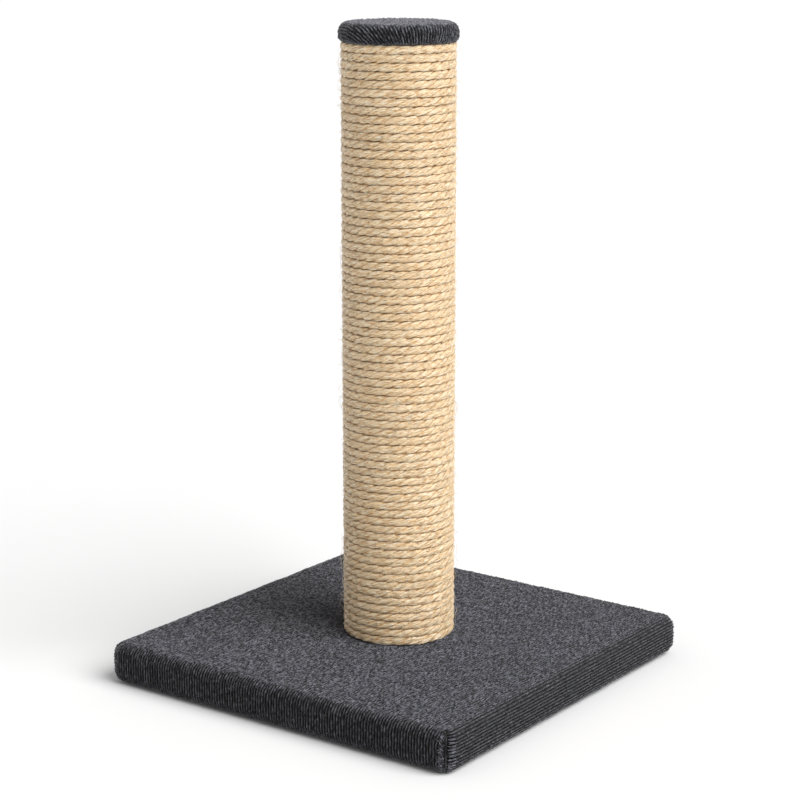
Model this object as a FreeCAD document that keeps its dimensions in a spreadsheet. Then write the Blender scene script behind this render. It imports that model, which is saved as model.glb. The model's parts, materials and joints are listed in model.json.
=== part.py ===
import FreeCAD, Part
import math
import os

import Sketcher
from FreeCAD import Placement, Rotation, Vector

# A cat scratching post: a square base and a round cap, both boards covered in ribbed carpet,
# and between them a cardboard tube closely wound with sisal rope. Millimetres, +Z up, with the
# origin on the floor under the middle of the base. A bolt through the base board runs into a
# tee nut in the tube's lower plug, and a bolt through the cap board into one in its upper plug.

# ---------------------------------------------------------------- driving sizes

SIZES = [
    ("board_width", 300.0, "base board across X"),
    ("board_depth", 300.0, "base board across Y"),
    ("board_thickness", 25.0, "base board"),
    ("board_edge_radius", 6.5, "round along the base board's edges"),
    ("board_corner_extra", 2.5, "vertical corner radius over the edge radius"),
    ("carpet_thickness", 2.6, "carpet of the base and of the cap"),
    ("glue_line", 0.2, "between a board and what is glued to it"),
    ("hem_width", 36.0, "carpet turned in under the base"),
    ("liner_thickness", 0.8, "sheet under the base board"),
    ("liner_margin", 1.5, "between the liner and the hem"),
    ("liner_corner_radius", 4.0, "corners of the liner"),
    ("pad_diameter", 26.0, "non-slip pad"),
    ("pad_inset", 8.0, "between a pad and the liner's edge"),
    ("pad_projection", 0.5, "pad below the hem"),
    ("pad_chamfer", 0.6, "lower edge of a pad"),
    ("bolt_diameter", 8.0, "both bolts"),
    ("bolt_clearance", 0.3, "round a bolt in its hole"),
    ("thread_clearance", 0.1, "between a bolt and its tee nut"),
    ("bolt_chamfer", 0.8, "tip of a bolt"),
    ("base_bolt_length", 45.0, "under the hexagon head"),
    ("base_bolt_flats", 13.0, "hexagon head across its flats"),
    ("base_bolt_head", 5.3, "height of the hexagon head"),
    ("washer_diameter", 24.0, "washer under the hexagon head"),
    ("washer_thickness", 2.0, "washer under the hexagon head"),
    ("head_recess", 1.2, "hexagon head above the underside of the board"),
    ("counterbore_clearance", 2.0, "round the washer in its counterbore"),
    ("tube_diameter", 70.0, "cardboard tube, outside"),
    ("tube_wall", 4.5, "cardboard tube"),
    ("plug_thickness", 20.0, "wooden plug in an end of the tube"),
    ("plug_clearance", 0.15, "round a plug in the tube"),
    ("tee_flange_diameter", 22.0, "flange of a tee nut"),
    ("tee_flange_thickness", 1.5, "flange of a tee nut"),
    ("tee_barrel_diameter", 10.0, "barrel of a tee nut"),
    ("tee_barrel_length", 10.0, "barrel of a tee nut"),
    ("tee_clearance", 0.1, "round a barrel or prong in its plug"),
    ("tee_prong_width", 3.0, "prong of a tee nut"),
    ("tee_prong_thickness", 1.2, "prong of a tee nut"),
    ("tee_prong_length", 6.0, "prong of a tee nut"),
    ("nail_diameter", 1.8, "nail through the tube into a plug"),
    ("nail_length", 16.0, "nail through the tube into a plug"),
    ("nail_head_diameter", 3.8, "head of a nail"),
    ("nail_head_thickness", 0.8, "head of a nail"),
    ("nail_sink", 0.1, "head below the surface of the tube"),
    ("nail_clearance", 0.1, "round a nail"),
    ("rope_diameter", 5.5, "sisal rope as it lies on the tube"),
    ("turn_gap", 0.5, "between one turn of rope and the next"),
    ("rope_seat", 0.25, "between the rope and the tube"),
    ("rope_end_clearance", 0.25, "between the rope and the base or the cap"),
    ("cap_disc_diameter", 79.5, "cap board"),
    ("cap_disc_thickness", 8.5, "cap board"),
    ("cap_disc_edge_radius", 3.8, "round along the cap board's edges"),
    ("cap_hem_width", 15.0, "carpet turned in under the cap"),
    ("cap_bolt_length", 35.0, "over its countersunk head"),
    ("cap_bolt_head_diameter", 15.5, "countersunk head"),
    ("cap_bolt_head", 4.2, "height of the countersunk head"),
    ("staple_crown", 10.0, "staple in a hem, across"),
    ("staple_leg", 8.0, "staple in a hem, with its crown"),
    ("staple_width", 1.2, "wire of a staple"),
    ("staple_gauge", 0.6, "wire of a staple"),
    ("staple_clearance", 0.1, "round a staple"),
    ("staple_ring_inset", 3.0, "from the edge of the cap's hem to its staples"),
]

WINDINGS = ("lower", "middle", "upper")
TURNS_PER_WINDING = 24
STAPLES_PER_SIDE = 7
CAP_STAPLES = 10
NAILS_PER_PLUG = 4
TEE_PRONGS = 4
STEP_BEARING = 126.0  # degrees from +X: the side where each turn steps up to the next
FIRST_NAIL_BEARING = 45.0
GAP_SAMPLES_PER_ARC = 12
EDGE_ROUND_LIMIT = 0.45  # of a board's thickness: the most that an edge round takes
CLOSE = 1e-3  # mm: two places this near are the same

# ---------------------------------------------------------------- sizes worked out from them


def size(name):
    return "Sizes." + name


def add(*terms):
    return "(" + " + ".join(terms) + ")"


def less(first, *others):
    return "(" + " - ".join((first,) + others) + ")"


def half(term):
    return "(" + term + " / 2)"


def twice(term):
    return "(2 * " + term + ")"


def rounded(radius, thickness):
    """An edge round, limited by the thickness of the board that it is on."""
    return "min(%s; %s * %s)" % (radius, EDGE_ROUND_LIMIT, thickness)


ROWS = len(WINDINGS) * TURNS_PER_WINDING
SKIN = add(size("glue_line"), size("carpet_thickness"))
PITCH = add(size("rope_diameter"), size("turn_gap"))

BOARD_BOTTOM = add(size("pad_projection"), SKIN)
BOARD_TOP = add(BOARD_BOTTOM, size("board_thickness"))
BASE_TOP = add(BOARD_TOP, SKIN)
BASE_HEIGHT = less(BASE_TOP, size("pad_projection"))
COVER_WIDTH = add(size("board_width"), twice(SKIN))
COVER_DEPTH = add(size("board_depth"), twice(SKIN))
CAVITY_WIDTH = add(size("board_width"), twice(size("glue_line")))
CAVITY_DEPTH = add(size("board_depth"), twice(size("glue_line")))
CAVITY_HEIGHT = add(size("board_thickness"), twice(size("glue_line")))
OPENING_WIDTH = less(COVER_WIDTH, twice(size("hem_width")))
OPENING_DEPTH = less(COVER_DEPTH, twice(size("hem_width")))
EDGE_RADIUS = rounded(size("board_edge_radius"), size("board_thickness"))
CORNER_RADIUS = add(EDGE_RADIUS, size("board_corner_extra"))

LINER_WIDTH = less(OPENING_WIDTH, twice(size("liner_margin")))
LINER_DEPTH = less(OPENING_DEPTH, twice(size("liner_margin")))
LINER_TOP = less(BOARD_BOTTOM, size("glue_line"))
LINER_BOTTOM = less(LINER_TOP, size("liner_thickness"))
PAD_OFFSET_X = less(half(LINER_WIDTH), size("pad_inset"), half(size("pad_diameter")))
PAD_OFFSET_Y = less(half(LINER_DEPTH), size("pad_inset"), half(size("pad_diameter")))

BOLT_RADIUS = half(size("bolt_diameter"))
BOLT_HOLE_RADIUS = add(BOLT_RADIUS, size("bolt_clearance"))
HEAD_BOTTOM = add(BOARD_BOTTOM, size("head_recess"))
WASHER_BOTTOM = add(HEAD_BOTTOM, size("base_bolt_head"))
WASHER_TOP = add(WASHER_BOTTOM, size("washer_thickness"))
COUNTERBORE_RADIUS = add(half(size("washer_diameter")), size("counterbore_clearance"))
COUNTERBORE_DEPTH = less(WASHER_TOP, BOARD_BOTTOM)

TUBE_RADIUS = half(size("tube_diameter"))
TUBE_BORE_RADIUS = less(TUBE_RADIUS, size("tube_wall"))
WOUND_HEIGHT = add("(%d * %s)" % (ROWS - 1, PITCH), size("rope_diameter"))
TUBE_LENGTH = add(WOUND_HEIGHT, twice(size("rope_end_clearance")))
TUBE_TOP = add(BASE_TOP, TUBE_LENGTH)
PLUG_RADIUS = less(TUBE_BORE_RADIUS, size("plug_clearance"))
BARREL_HOLE_RADIUS = add(half(size("tee_barrel_diameter")), size("tee_clearance"))
BARREL_HOLE_DEPTH = add(size("tee_barrel_length"), size("tee_clearance"))
TEE_BORE_RADIUS = add(BOLT_RADIUS, size("thread_clearance"))
PRONG_REACH = less(half(size("tee_flange_diameter")), size("tee_prong_thickness"))
SLIT_WIDTH = add(size("tee_prong_width"), twice(size("tee_clearance")))
SLIT_THICKNESS = add(size("tee_prong_thickness"), twice(size("tee_clearance")))
SLIT_DEPTH = add(size("tee_prong_length"), size("tee_clearance"))
SLIT_REACH = less(PRONG_REACH, size("tee_clearance"))

CAP_HEIGHT = add(size("cap_disc_thickness"), twice(SKIN))
CAP_RADIUS = add(half(size("cap_disc_diameter")), SKIN)
CAP_CAVITY_RADIUS = add(half(size("cap_disc_diameter")), size("glue_line"))
CAP_CAVITY_TOP = less(CAP_HEIGHT, size("carpet_thickness"))
CAP_OPENING_RADIUS = less(CAP_RADIUS, size("cap_hem_width"))
CAP_EDGE_RADIUS = rounded(size("cap_disc_edge_radius"), size("cap_disc_thickness"))
DISC_BOTTOM = add(TUBE_TOP, SKIN)
DISC_TOP = add(DISC_BOTTOM, size("cap_disc_thickness"))
CAP_BOLT_BOTTOM = less(DISC_TOP, size("cap_bolt_length"))
CONE_RADIUS = half(size("cap_bolt_head_diameter"))

# ---------------------------------------------------------------- document and helpers

os.makedirs("parts", exist_ok=True)
doc = FreeCAD.newDocument("ScratchingPost")
sheet = doc.addObject("Spreadsheet::Sheet", "Sizes")
for row, (alias, number, meaning) in enumerate(SIZES, start=1):
    sheet.set("A%d" % row, alias)
    sheet.set("B%d" % row, str(number))
    sheet.setAlias("B%d" % row, alias)
    sheet.set("C%d" % row, meaning)
doc.recompute()

kept = []


def value(expression):
    """A size or a sum of sizes from the sheet, as a number."""
    return float(sheet.evalExpression(expression))


def keep(item):
    """Mark an object as a sub-part, which is written to a file of its own."""
    kept.append(item)
    return item


def new_body(label, height="0"):
    body = doc.addObject("PartDesign::Body", label)
    body.Label = label
    body.setExpression("Placement.Base.z", height)
    return body


def feature(body, kind, name, sizes, offset=None):
    """Add a PartDesign primitive whose sizes, and offset in the body, are bound to the sheet."""
    item = body.newObject("PartDesign::" + kind, name)
    for key, expression in sizes.items():
        item.setExpression(key, expression)
    for axis, expression in (offset or {}).items():
        item.setExpression("Placement.Base." + axis, expression)
    body.Tip = item
    doc.recompute()
    return item


def block(body, kind, name, width, depth, height, lift="0"):
    """A box centred on the body's Z axis."""
    sizes = {"Length": width, "Width": depth, "Height": height}
    offset = {"x": "-" + half(width), "y": "-" + half(depth), "z": lift}
    return feature(body, kind, name, sizes, offset)


def disc(body, kind, name, radius, height, lift="0"):
    """A cylinder on the body's Z axis."""
    return feature(body, kind, name, {"Radius": radius, "Height": height}, {"z": lift})


def edge_names(shape, wanted):
    return ["Edge%d" % n for n, edge in enumerate(shape.Edges, start=1) if wanted(edge)]


def dress(body, kind, name, amount, wanted):
    """Round (Fillet) or bevel (Chamfer) the edges of the body's tip that are wanted."""
    base = body.Tip
    item = body.newObject("PartDesign::" + kind, name)
    item.Base = (base, edge_names(base.Shape, wanted))
    item.setExpression("Radius" if kind == "Fillet" else "Size", amount)
    body.Tip = item
    doc.recompute()
    return item


def upright_at(half_width, half_depth):
    """Wanted edges: the four upright edges of a centred box of these half sizes."""

    def wanted(edge):
        ends = [vertex.Point for vertex in edge.Vertexes]
        if len(ends) != 2 or abs(ends[0].z - ends[1].z) < CLOSE:
            return False
        return all(
            abs(abs(end.x) - half_width) < CLOSE and abs(abs(end.y) - half_depth) < CLOSE
            for end in ends
        )

    return wanted


def level_at(heights, inner, outer):
    """Wanted edges: level ones at these heights, whose reach from Z lies in a range."""

    def wanted(edge):
        box = edge.BoundBox
        reach = max(box.XMax, box.YMax, -box.XMin, -box.YMin)
        level = box.ZLength < CLOSE and any(abs(box.ZMin - z) < CLOSE for z in heights)
        return level and inner - CLOSE <= reach <= outer + CLOSE

    return wanted


def lathe(body, name, corners):
    """Turn a closed outline, given as (radius, height) corners, about the body's Z axis."""
    sketch = body.newObject("Sketcher::SketchObject", name + "_outline")
    plane = next(item for item in body.Origin.OriginFeatures if item.Role == "XZ_Plane")
    sketch.AttachmentSupport = [(plane, "")]
    sketch.MapMode = "FlatFace"
    points = [Vector(value(radius), value(height), 0) for radius, height in corners]
    for start, end in zip(points, points[1:] + points[:1]):
        sketch.addGeometry(Part.LineSegment(start, end), False)
    count = len(points)
    for line in range(count):
        sketch.addConstraint(Sketcher.Constraint("Coincident", line, 2, (line + 1) % count, 1))
    for line, corner in enumerate(corners):
        for kind, axis, expression in zip(("DistanceX", "DistanceY"), (-2, -1), corner):
            if expression == "0":
                sketch.addConstraint(Sketcher.Constraint("PointOnObject", line, 1, axis))
                continue
            held = Sketcher.Constraint(kind, -1, 1, line, 1, value(expression))
            sketch.setExpression("Constraints[%d]" % sketch.addConstraint(held), expression)
    turned = body.newObject("PartDesign::Revolution", name)
    turned.Profile = sketch
    turned.ReferenceAxis = (sketch, ["V_Axis"])
    turned.Angle = 360.0
    body.Tip = turned
    doc.recompute()
    return turned


def ring_of(body, seed, name, count):
    """Repeat a feature evenly about the body's Z axis."""
    pattern = body.newObject("PartDesign::PolarPattern", name)
    pattern.Originals = [seed]
    axis = next(item for item in body.Origin.OriginFeatures if item.Role == "Z_Axis")
    pattern.Axis = (axis, [""])
    pattern.Angle = 360.0
    pattern.Occurrences = count
    body.Tip = pattern
    doc.recompute()
    return pattern


def group(name, solids):
    """Several separate solids kept as one object."""
    item = doc.addObject("Part::Feature", name)
    item.Label = name
    item.Shape = Part.makeCompound(solids)
    return item


def cut_from(name, base, tool):
    """The sub-part that is left of a base once a tool's shape is taken out of it."""
    item = doc.addObject("Part::Cut", name)
    item.Label = name
    item.Base = base
    item.Tool = tool
    doc.recompute()
    return item


# ---------------------------------------------------------------- staples and nails


def staple(grown=0.0, crown_slot=0.0):
    """A staple standing on z = 0, its crown along X and its legs up; a tool for it is grown."""
    crown, leg = value(size("staple_crown")), value(size("staple_leg"))
    width, gauge = value(size("staple_width")), value(size("staple_gauge"))
    back = Part.makeBox(
        crown + 2 * grown,
        width + 2 * grown,
        gauge + grown + crown_slot,
        Vector(-crown / 2 - grown, -width / 2 - grown, -crown_slot),
    )
    legs = [
        Part.makeBox(
            gauge + 2 * grown,
            width + 2 * grown,
            leg + grown,
            Vector(side * (crown - gauge) / 2 - gauge / 2 - grown, -width / 2 - grown, 0),
        )
        for side in (-1, 1)
    ]
    return back.multiFuse(legs).removeSplitter()


def base_staple_spots():
    """Where the staples of the base's hem stand: along the middle of the hem on each side."""
    spots = []
    height = value(size("pad_projection"))
    inset = value(half(size("hem_width")))
    half_sides = (value(half(COVER_WIDTH)), value(half(COVER_DEPTH)))
    for turn in range(4):
        line = half_sides[(turn + 1) % 2] - inset
        reach = half_sides[turn % 2] - 2 * inset
        for number in range(STAPLES_PER_SIDE):
            step = -reach + 2 * reach * number / (STAPLES_PER_SIDE - 1)
            turned = Rotation(Vector(0, 0, 1), 90.0 * turn)
            spots.append(Placement(turned.multVec(Vector(step, -line, height)), turned))
    return spots


def cap_staple_spots():
    """Where the staples of the cap's hem stand: on a ring a little outside the hem's edge."""
    spots = []
    radius = value(CAP_OPENING_RADIUS) + value(size("staple_ring_inset"))
    for number in range(CAP_STAPLES):
        turned = Rotation(Vector(0, 0, 1), 360.0 * number / CAP_STAPLES)
        spots.append(Placement(turned.multVec(Vector(0, -radius, value(TUBE_TOP))), turned))
    return spots


def placed(solid, spots):
    copies = []
    for spot in spots:
        copy = solid.copy()
        copy.Placement = spot
        copies.append(copy)
    return copies


def nail(grown=0.0, open_length=0.0):
    """A nail pointing along -X from its head at x = 0; a tool for it is grown and open."""
    shank_radius = value(size("nail_diameter")) / 2 + grown
    head_radius = value(size("nail_head_diameter")) / 2 + grown
    inward = Vector(-1, 0, 0)
    length = value(size("nail_length")) + grown
    head_depth = value(size("nail_head_thickness")) + grown + open_length
    shank = Part.makeCylinder(shank_radius, length, Vector(0, 0, 0), inward)
    head = Part.makeCylinder(head_radius, head_depth, Vector(open_length, 0, 0), inward)
    return shank.fuse(head).removeSplitter()


def nail_spots(height):
    """Where the nails of one plug stand: evenly round the tube at one height."""
    spots = []
    radius = value(TUBE_RADIUS) - value(size("nail_sink"))
    for number in range(NAILS_PER_PLUG):
        bearing = FIRST_NAIL_BEARING + 360.0 * number / NAILS_PER_PLUG
        turned = Rotation(Vector(0, 0, 1), bearing)
        spots.append(Placement(turned.multVec(Vector(radius, 0, height)), turned))
    return spots


def make_staple_tool(name, spots):
    clearance = value(size("staple_clearance"))
    return group(name, placed(staple(clearance, clearance), spots))


def make_nail_tool(name, spots):
    clearance = value(size("nail_clearance"))
    return group(name, placed(nail(clearance, value(size("nail_sink")) + clearance), spots))


# ---------------------------------------------------------------- base


def rounded_block(body, name, sides, corner, edge):
    """A centred box whose upright corners and level edges are rounded."""
    width, depth, height = sides
    block(body, "AdditiveBox", name, width, depth, height)
    half_width, half_depth = value(half(width)), value(half(depth))
    dress(body, "Fillet", name + "_corners", corner, upright_at(half_width, half_depth))
    dress(body, "Fillet", name + "_edges", edge, level_at((0.0, value(height)), 0.0, math.inf))


def make_board_blank():
    body = new_body("base_board_blank", BOARD_BOTTOM)
    sides = (size("board_width"), size("board_depth"), size("board_thickness"))
    rounded_block(body, "board", sides, CORNER_RADIUS, EDGE_RADIUS)
    disc(body, "SubtractiveCylinder", "bolt_hole", BOLT_HOLE_RADIUS, size("board_thickness"))
    disc(body, "SubtractiveCylinder", "counterbore", COUNTERBORE_RADIUS, COUNTERBORE_DEPTH)
    return body


def make_cover_blank():
    """The carpet: an outer form, opened underneath inside its hem and hollowed for the board."""
    outside = new_body("base_carpet_outside", size("pad_projection"))
    rounded_block(
        outside,
        "outside",
        (COVER_WIDTH, COVER_DEPTH, BASE_HEIGHT),
        add(CORNER_RADIUS, SKIN),
        add(EDGE_RADIUS, SKIN),
    )
    block(outside, "SubtractiveBox", "opening", OPENING_WIDTH, OPENING_DEPTH, SKIN)
    disc(outside, "SubtractiveCylinder", "bolt_hole", BOLT_HOLE_RADIUS, BASE_HEIGHT)
    inside = new_body("base_carpet_inside", less(BOARD_BOTTOM, size("glue_line")))
    rounded_block(
        inside,
        "inside",
        (CAVITY_WIDTH, CAVITY_DEPTH, CAVITY_HEIGHT),
        add(CORNER_RADIUS, size("glue_line")),
        add(EDGE_RADIUS, size("glue_line")),
    )
    return cut_from("base_carpet_blank", outside, inside)


def make_liner():
    body = new_body("base_liner", LINER_BOTTOM)
    block(body, "AdditiveBox", "sheet", LINER_WIDTH, LINER_DEPTH, size("liner_thickness"))
    corner = upright_at(value(half(LINER_WIDTH)), value(half(LINER_DEPTH)))
    dress(body, "Fillet", "sheet_corners", size("liner_corner_radius"), corner)
    disc(body, "SubtractiveCylinder", "access", COUNTERBORE_RADIUS, size("liner_thickness"))
    return keep(body)


def make_pad(name, side_x, side_y):
    body = new_body(name)
    radius = half(size("pad_diameter"))
    chamfer = size("pad_chamfer")
    corners = [
        ("0", "0"),
        (less(radius, chamfer), "0"),
        (radius, chamfer),
        (radius, LINER_BOTTOM),
        ("0", LINER_BOTTOM),
    ]
    lathe(body, "pad", corners)
    body.setExpression("Placement.Base.x", "%d * %s" % (side_x, PAD_OFFSET_X))
    body.setExpression("Placement.Base.y", "%d * %s" % (side_y, PAD_OFFSET_Y))
    return keep(body)


def make_base():
    tool = make_staple_tool("base_staple_slots", base_staple_spots())
    keep(cut_from("base_board", make_board_blank(), tool))
    keep(cut_from("base_carpet", make_cover_blank(), tool))
    keep(group("base_hem_staples", placed(staple(), base_staple_spots())))
    make_liner()
    for rank, side_y in (("front", -1), ("rear", 1)):
        for hand, side_x in (("left", -1), ("right", 1)):
            make_pad("base_pad_%s_%s" % (rank, hand), side_x, side_y)


# ---------------------------------------------------------------- bolts and washer


def make_base_bolt():
    body = new_body("base_bolt", HEAD_BOTTOM)
    head_radius = "(" + size("base_bolt_flats") + " / (2 * cos(30 deg)))"
    sizes = {"Circumradius": head_radius, "Height": size("base_bolt_head")}
    head = feature(body, "AdditivePrism", "hexagon_head", sizes)
    head.Polygon = 6
    length = size("base_bolt_length")
    disc(body, "AdditiveCylinder", "shank", BOLT_RADIUS, length, size("base_bolt_head"))
    tip = value(add(size("base_bolt_head"), length))
    at_tip = level_at((tip,), 0.0, value(size("bolt_diameter")))
    dress(body, "Chamfer", "tip", size("bolt_chamfer"), at_tip)
    return keep(body)


def make_washer():
    body = new_body("base_washer", WASHER_BOTTOM)
    outer = half(size("washer_diameter"))
    top = size("washer_thickness")
    corners = [(BOLT_HOLE_RADIUS, "0"), (outer, "0"), (outer, top), (BOLT_HOLE_RADIUS, top)]
    lathe(body, "washer", corners)
    return keep(body)


def make_cap_bolt():
    body = new_body("cap_bolt", CAP_BOLT_BOTTOM)
    length = size("cap_bolt_length")
    chamfer = size("bolt_chamfer")
    corners = [
        ("0", "0"),
        (less(BOLT_RADIUS, chamfer), "0"),
        (BOLT_RADIUS, chamfer),
        (BOLT_RADIUS, less(length, size("cap_bolt_head"))),
        (CONE_RADIUS, length),
        ("0", length),
    ]
    lathe(body, "bolt", corners)
    return keep(body)


# ---------------------------------------------------------------- post core


def make_tube_blank():
    body = new_body("post_tube_blank", BASE_TOP)
    corners = [
        (TUBE_BORE_RADIUS, "0"),
        (TUBE_RADIUS, "0"),
        (TUBE_RADIUS, TUBE_LENGTH),
        (TUBE_BORE_RADIUS, TUBE_LENGTH),
    ]
    lathe(body, "wall", corners)
    return body


def make_plug_blank(name, height):
    """A plug with its tee nut's seat on its upper face: a barrel hole and four prong slits."""
    body = new_body(name, height)
    top = size("plug_thickness")
    disc(body, "AdditiveCylinder", "plug", PLUG_RADIUS, top)
    disc(body, "SubtractiveCylinder", "bolt_hole", BOLT_HOLE_RADIUS, top)
    seat = less(top, BARREL_HOLE_DEPTH)
    disc(body, "SubtractiveCylinder", "barrel_hole", BARREL_HOLE_RADIUS, BARREL_HOLE_DEPTH, seat)
    sizes = {"Length": SLIT_THICKNESS, "Width": SLIT_WIDTH, "Height": SLIT_DEPTH}
    offset = {"x": SLIT_REACH, "y": "-" + half(SLIT_WIDTH), "z": less(top, SLIT_DEPTH)}
    slit = feature(body, "SubtractiveBox", "prong_slit", sizes, offset)
    ring_of(body, slit, "prong_slits", TEE_PRONGS)
    return body


def make_tee_nut(name, height):
    """A tee nut with its flange up: its barrel and prongs point down into the plug."""
    body = new_body(name, height)
    flange = size("tee_flange_thickness")
    length = size("tee_barrel_length")
    disc(body, "AdditiveCylinder", "flange", half(size("tee_flange_diameter")), flange)
    radius = half(size("tee_barrel_diameter"))
    disc(body, "AdditiveCylinder", "barrel", radius, length, "-" + length)
    sizes = {
        "Length": size("tee_prong_thickness"),
        "Width": size("tee_prong_width"),
        "Height": size("tee_prong_length"),
    }
    offset = {
        "x": PRONG_REACH,
        "y": "-" + half(size("tee_prong_width")),
        "z": "-" + size("tee_prong_length"),
    }
    prong = feature(body, "AdditiveBox", "prong", sizes, offset)
    ring_of(body, prong, "prongs", TEE_PRONGS)
    through = add(length, flange)
    disc(body, "SubtractiveCylinder", "thread", TEE_BORE_RADIUS, through, "-" + length)
    return keep(body)


def turn_over(body, height):
    """Turn a body upside down about X, so that its own z = 0 plane lies at a height."""
    body.setExpression("Placement.Base.z", height)
    body.setExpression("Placement.Rotation.Angle", "180")
    body.setExpression("Placement.Rotation.Axis.x", "1")
    body.setExpression("Placement.Rotation.Axis.y", "0")
    body.setExpression("Placement.Rotation.Axis.z", "0")
    doc.recompute()


def make_core():
    tube = make_tube_blank()
    lower = make_plug_blank("bottom_plug_blank", BASE_TOP)
    upper = make_plug_blank("top_plug_blank", TUBE_TOP)
    turn_over(upper, TUBE_TOP)
    middle = half(size("plug_thickness"))
    heights = (add(BASE_TOP, middle), less(TUBE_TOP, middle))
    tools = []
    for end, plug, height in zip(("bottom", "top"), (lower, upper), heights):
        spots = nail_spots(value(height))
        tool = make_nail_tool(end + "_nail_holes", spots)
        keep(cut_from(end + "_plug", plug, tool))
        keep(group(end + "_plug_nails", placed(nail(), spots)))
        tools.append(tool)
    lower_drilled = cut_from("post_tube_lower_drilled", tube, tools[0])
    keep(cut_from("post_tube", lower_drilled, tools[1]))
    make_tee_nut("bottom_tee_nut", add(BASE_TOP, size("plug_thickness")))
    turn_over(make_tee_nut("top_tee_nut", TUBE_TOP), less(TUBE_TOP, size("plug_thickness")))


# ---------------------------------------------------------------- rope


class RopePath:
    """The line that the rope's middle follows. Each turn lies level over the half of the post
    away from the step bearing, and climbs one pitch over the half on that bearing, so the first
    turn lies flat on the base and the last one flat under the cap. It climbs clockwise."""

    def __init__(self):
        self.wire = value(size("rope_diameter"))
        self.pitch = value(PITCH)
        self.radius = value(TUBE_RADIUS) + value(size("rope_seat")) + self.wire / 2
        self.floor = value(BASE_TOP) + value(size("rope_end_clearance")) + self.wire / 2
        # Two cut ends that meet at the middle of a climb: each runs straight for one diameter,
        # and their inner edges are a turn gap apart.
        straight = self.wire + value(size("turn_gap")) / 2
        self.meeting = math.atan(straight / (self.radius - self.wire / 2)) / math.pi

    def climb(self, row, part):
        """Point and direction at a part (0 to 1) of the climb that follows a row."""
        angle = math.radians(STEP_BEARING) + math.pi * (0.5 - part)
        rise = 2 * part**2 if part < 0.5 else 1 - 2 * (1 - part) ** 2
        slope = 4 * min(part, 1 - part) * self.pitch / (math.pi * self.radius)
        point = Vector(
            self.radius * math.cos(angle),
            self.radius * math.sin(angle),
            self.floor + (row + rise) * self.pitch,
        )
        direction = Vector(math.sin(angle), -math.cos(angle), slope)
        return point, direction.normalize()

    def stations(self, winding):
        """Points and directions along one winding, a quarter or half turn apart."""
        first = winding * TURNS_PER_WINDING
        last = first + TURNS_PER_WINDING - 1
        start_part = 1.0 if winding == 0 else 0.5 + self.meeting
        found = [self.climb(first - 1, start_part)]
        for row in range(first, last + 1):
            if row > first or winding > 0:
                found.append(self.climb(row - 1, 1.0))
            found.append(self.climb(row, 0.0))
            if row < last:
                found.append(self.climb(row, 0.5))
        if winding < len(WINDINGS) - 1:
            found.append(self.climb(last, 0.5 - self.meeting))
        return found


def arc_between(start, corner, end):
    """The arc from start to end that is tangent to the lines from both to an even corner."""
    weight = start.distanceToPoint(end) / (2 * start.distanceToPoint(corner))
    middle = (start + end + corner * (2 * weight)) * (1 / (2 + 2 * weight))
    return Part.Arc(start, middle, end).toShape()


def biarc(start, start_way, end, end_way):
    """Two arcs that leave start along its direction and reach end along its own."""
    across = end - start
    both = start_way + end_way
    spread = 2 * (1 - start_way.dot(end_way))
    lean = across.dot(both)
    reach = (math.sqrt(lean**2 + spread * across.dot(across)) - lean) / spread
    first, second = start + start_way * reach, end - end_way * reach
    joint = (first + second) * 0.5
    return [arc_between(start, first, joint), arc_between(joint, second, end)]


def winding_edges(path, winding):
    """The winding's line: biarcs, with a straight run of one diameter at each cut end."""
    stations = path.stations(winding)
    start, start_way = stations[0]
    end, end_way = stations[-1]
    edges = [Part.makeLine(start - start_way * path.wire, start)]
    for (here, way), (there, next_way) in zip(stations, stations[1:]):
        edges += biarc(here, way, there, next_way)
    edges.append(Part.makeLine(end, end + end_way * path.wire))
    return edges


def sampled(edges, travelled):
    """Points along the edges, each with its distance along the whole rope."""
    points = []
    for edge in edges:
        for number, point in enumerate(edge.discretize(GAP_SAMPLES_PER_ARC)[:-1]):
            points.append((travelled + edge.Length * number / (GAP_SAMPLES_PER_ARC - 1), point))
        travelled += edge.Length
    return points


def least_gap(path, points, others, apart):
    """Least clear distance between two stretches, whose points are this far apart along them."""
    window = path.pitch * 1.5
    least = window
    for travelled, point in points:
        for other_travelled, other in others:
            if abs(other.z - point.z) < window and other_travelled - travelled > apart:
                least = min(least, point.distanceToPoint(other))
    return least - path.wire


def make_windings():
    path = RopePath()
    section_area = math.pi * path.wire**2 / 4
    half_turn = math.pi * path.radius
    travelled = 0.0
    lines = []
    for number, place in enumerate(WINDINGS):
        edges = winding_edges(path, number)
        start = edges[0].Vertexes[0].Point
        way = edges[0].tangentAt(edges[0].FirstParameter)
        section = Part.Wire(Part.makeCircle(path.wire / 2, start, way))
        item = doc.addObject("Part::Feature", "rope_winding_" + place)
        item.Label = "rope_winding_" + place
        item.Shape = Part.Wire(edges).makePipeShell([section], True, False)
        keep(item)
        points = sampled(edges, travelled)
        length = sum(edge.Length for edge in edges)
        travelled += length
        share = item.Shape.Volume / (section_area * length)
        gap = least_gap(path, points, points, half_turn)
        print("%s: %.1f mm of rope" % (item.Label, length))
        print("%s: volume over section times length %.4f" % (item.Label, share))
        print("%s: least gap to itself %.3f mm" % (item.Label, gap))
        lines.append(points)
    for lower, upper in zip(lines, lines[1:]):
        gap = least_gap(path, lower, upper, half_turn)
        print("least gap between two windings, side by side, %.3f mm" % gap)


# ---------------------------------------------------------------- cap


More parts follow.
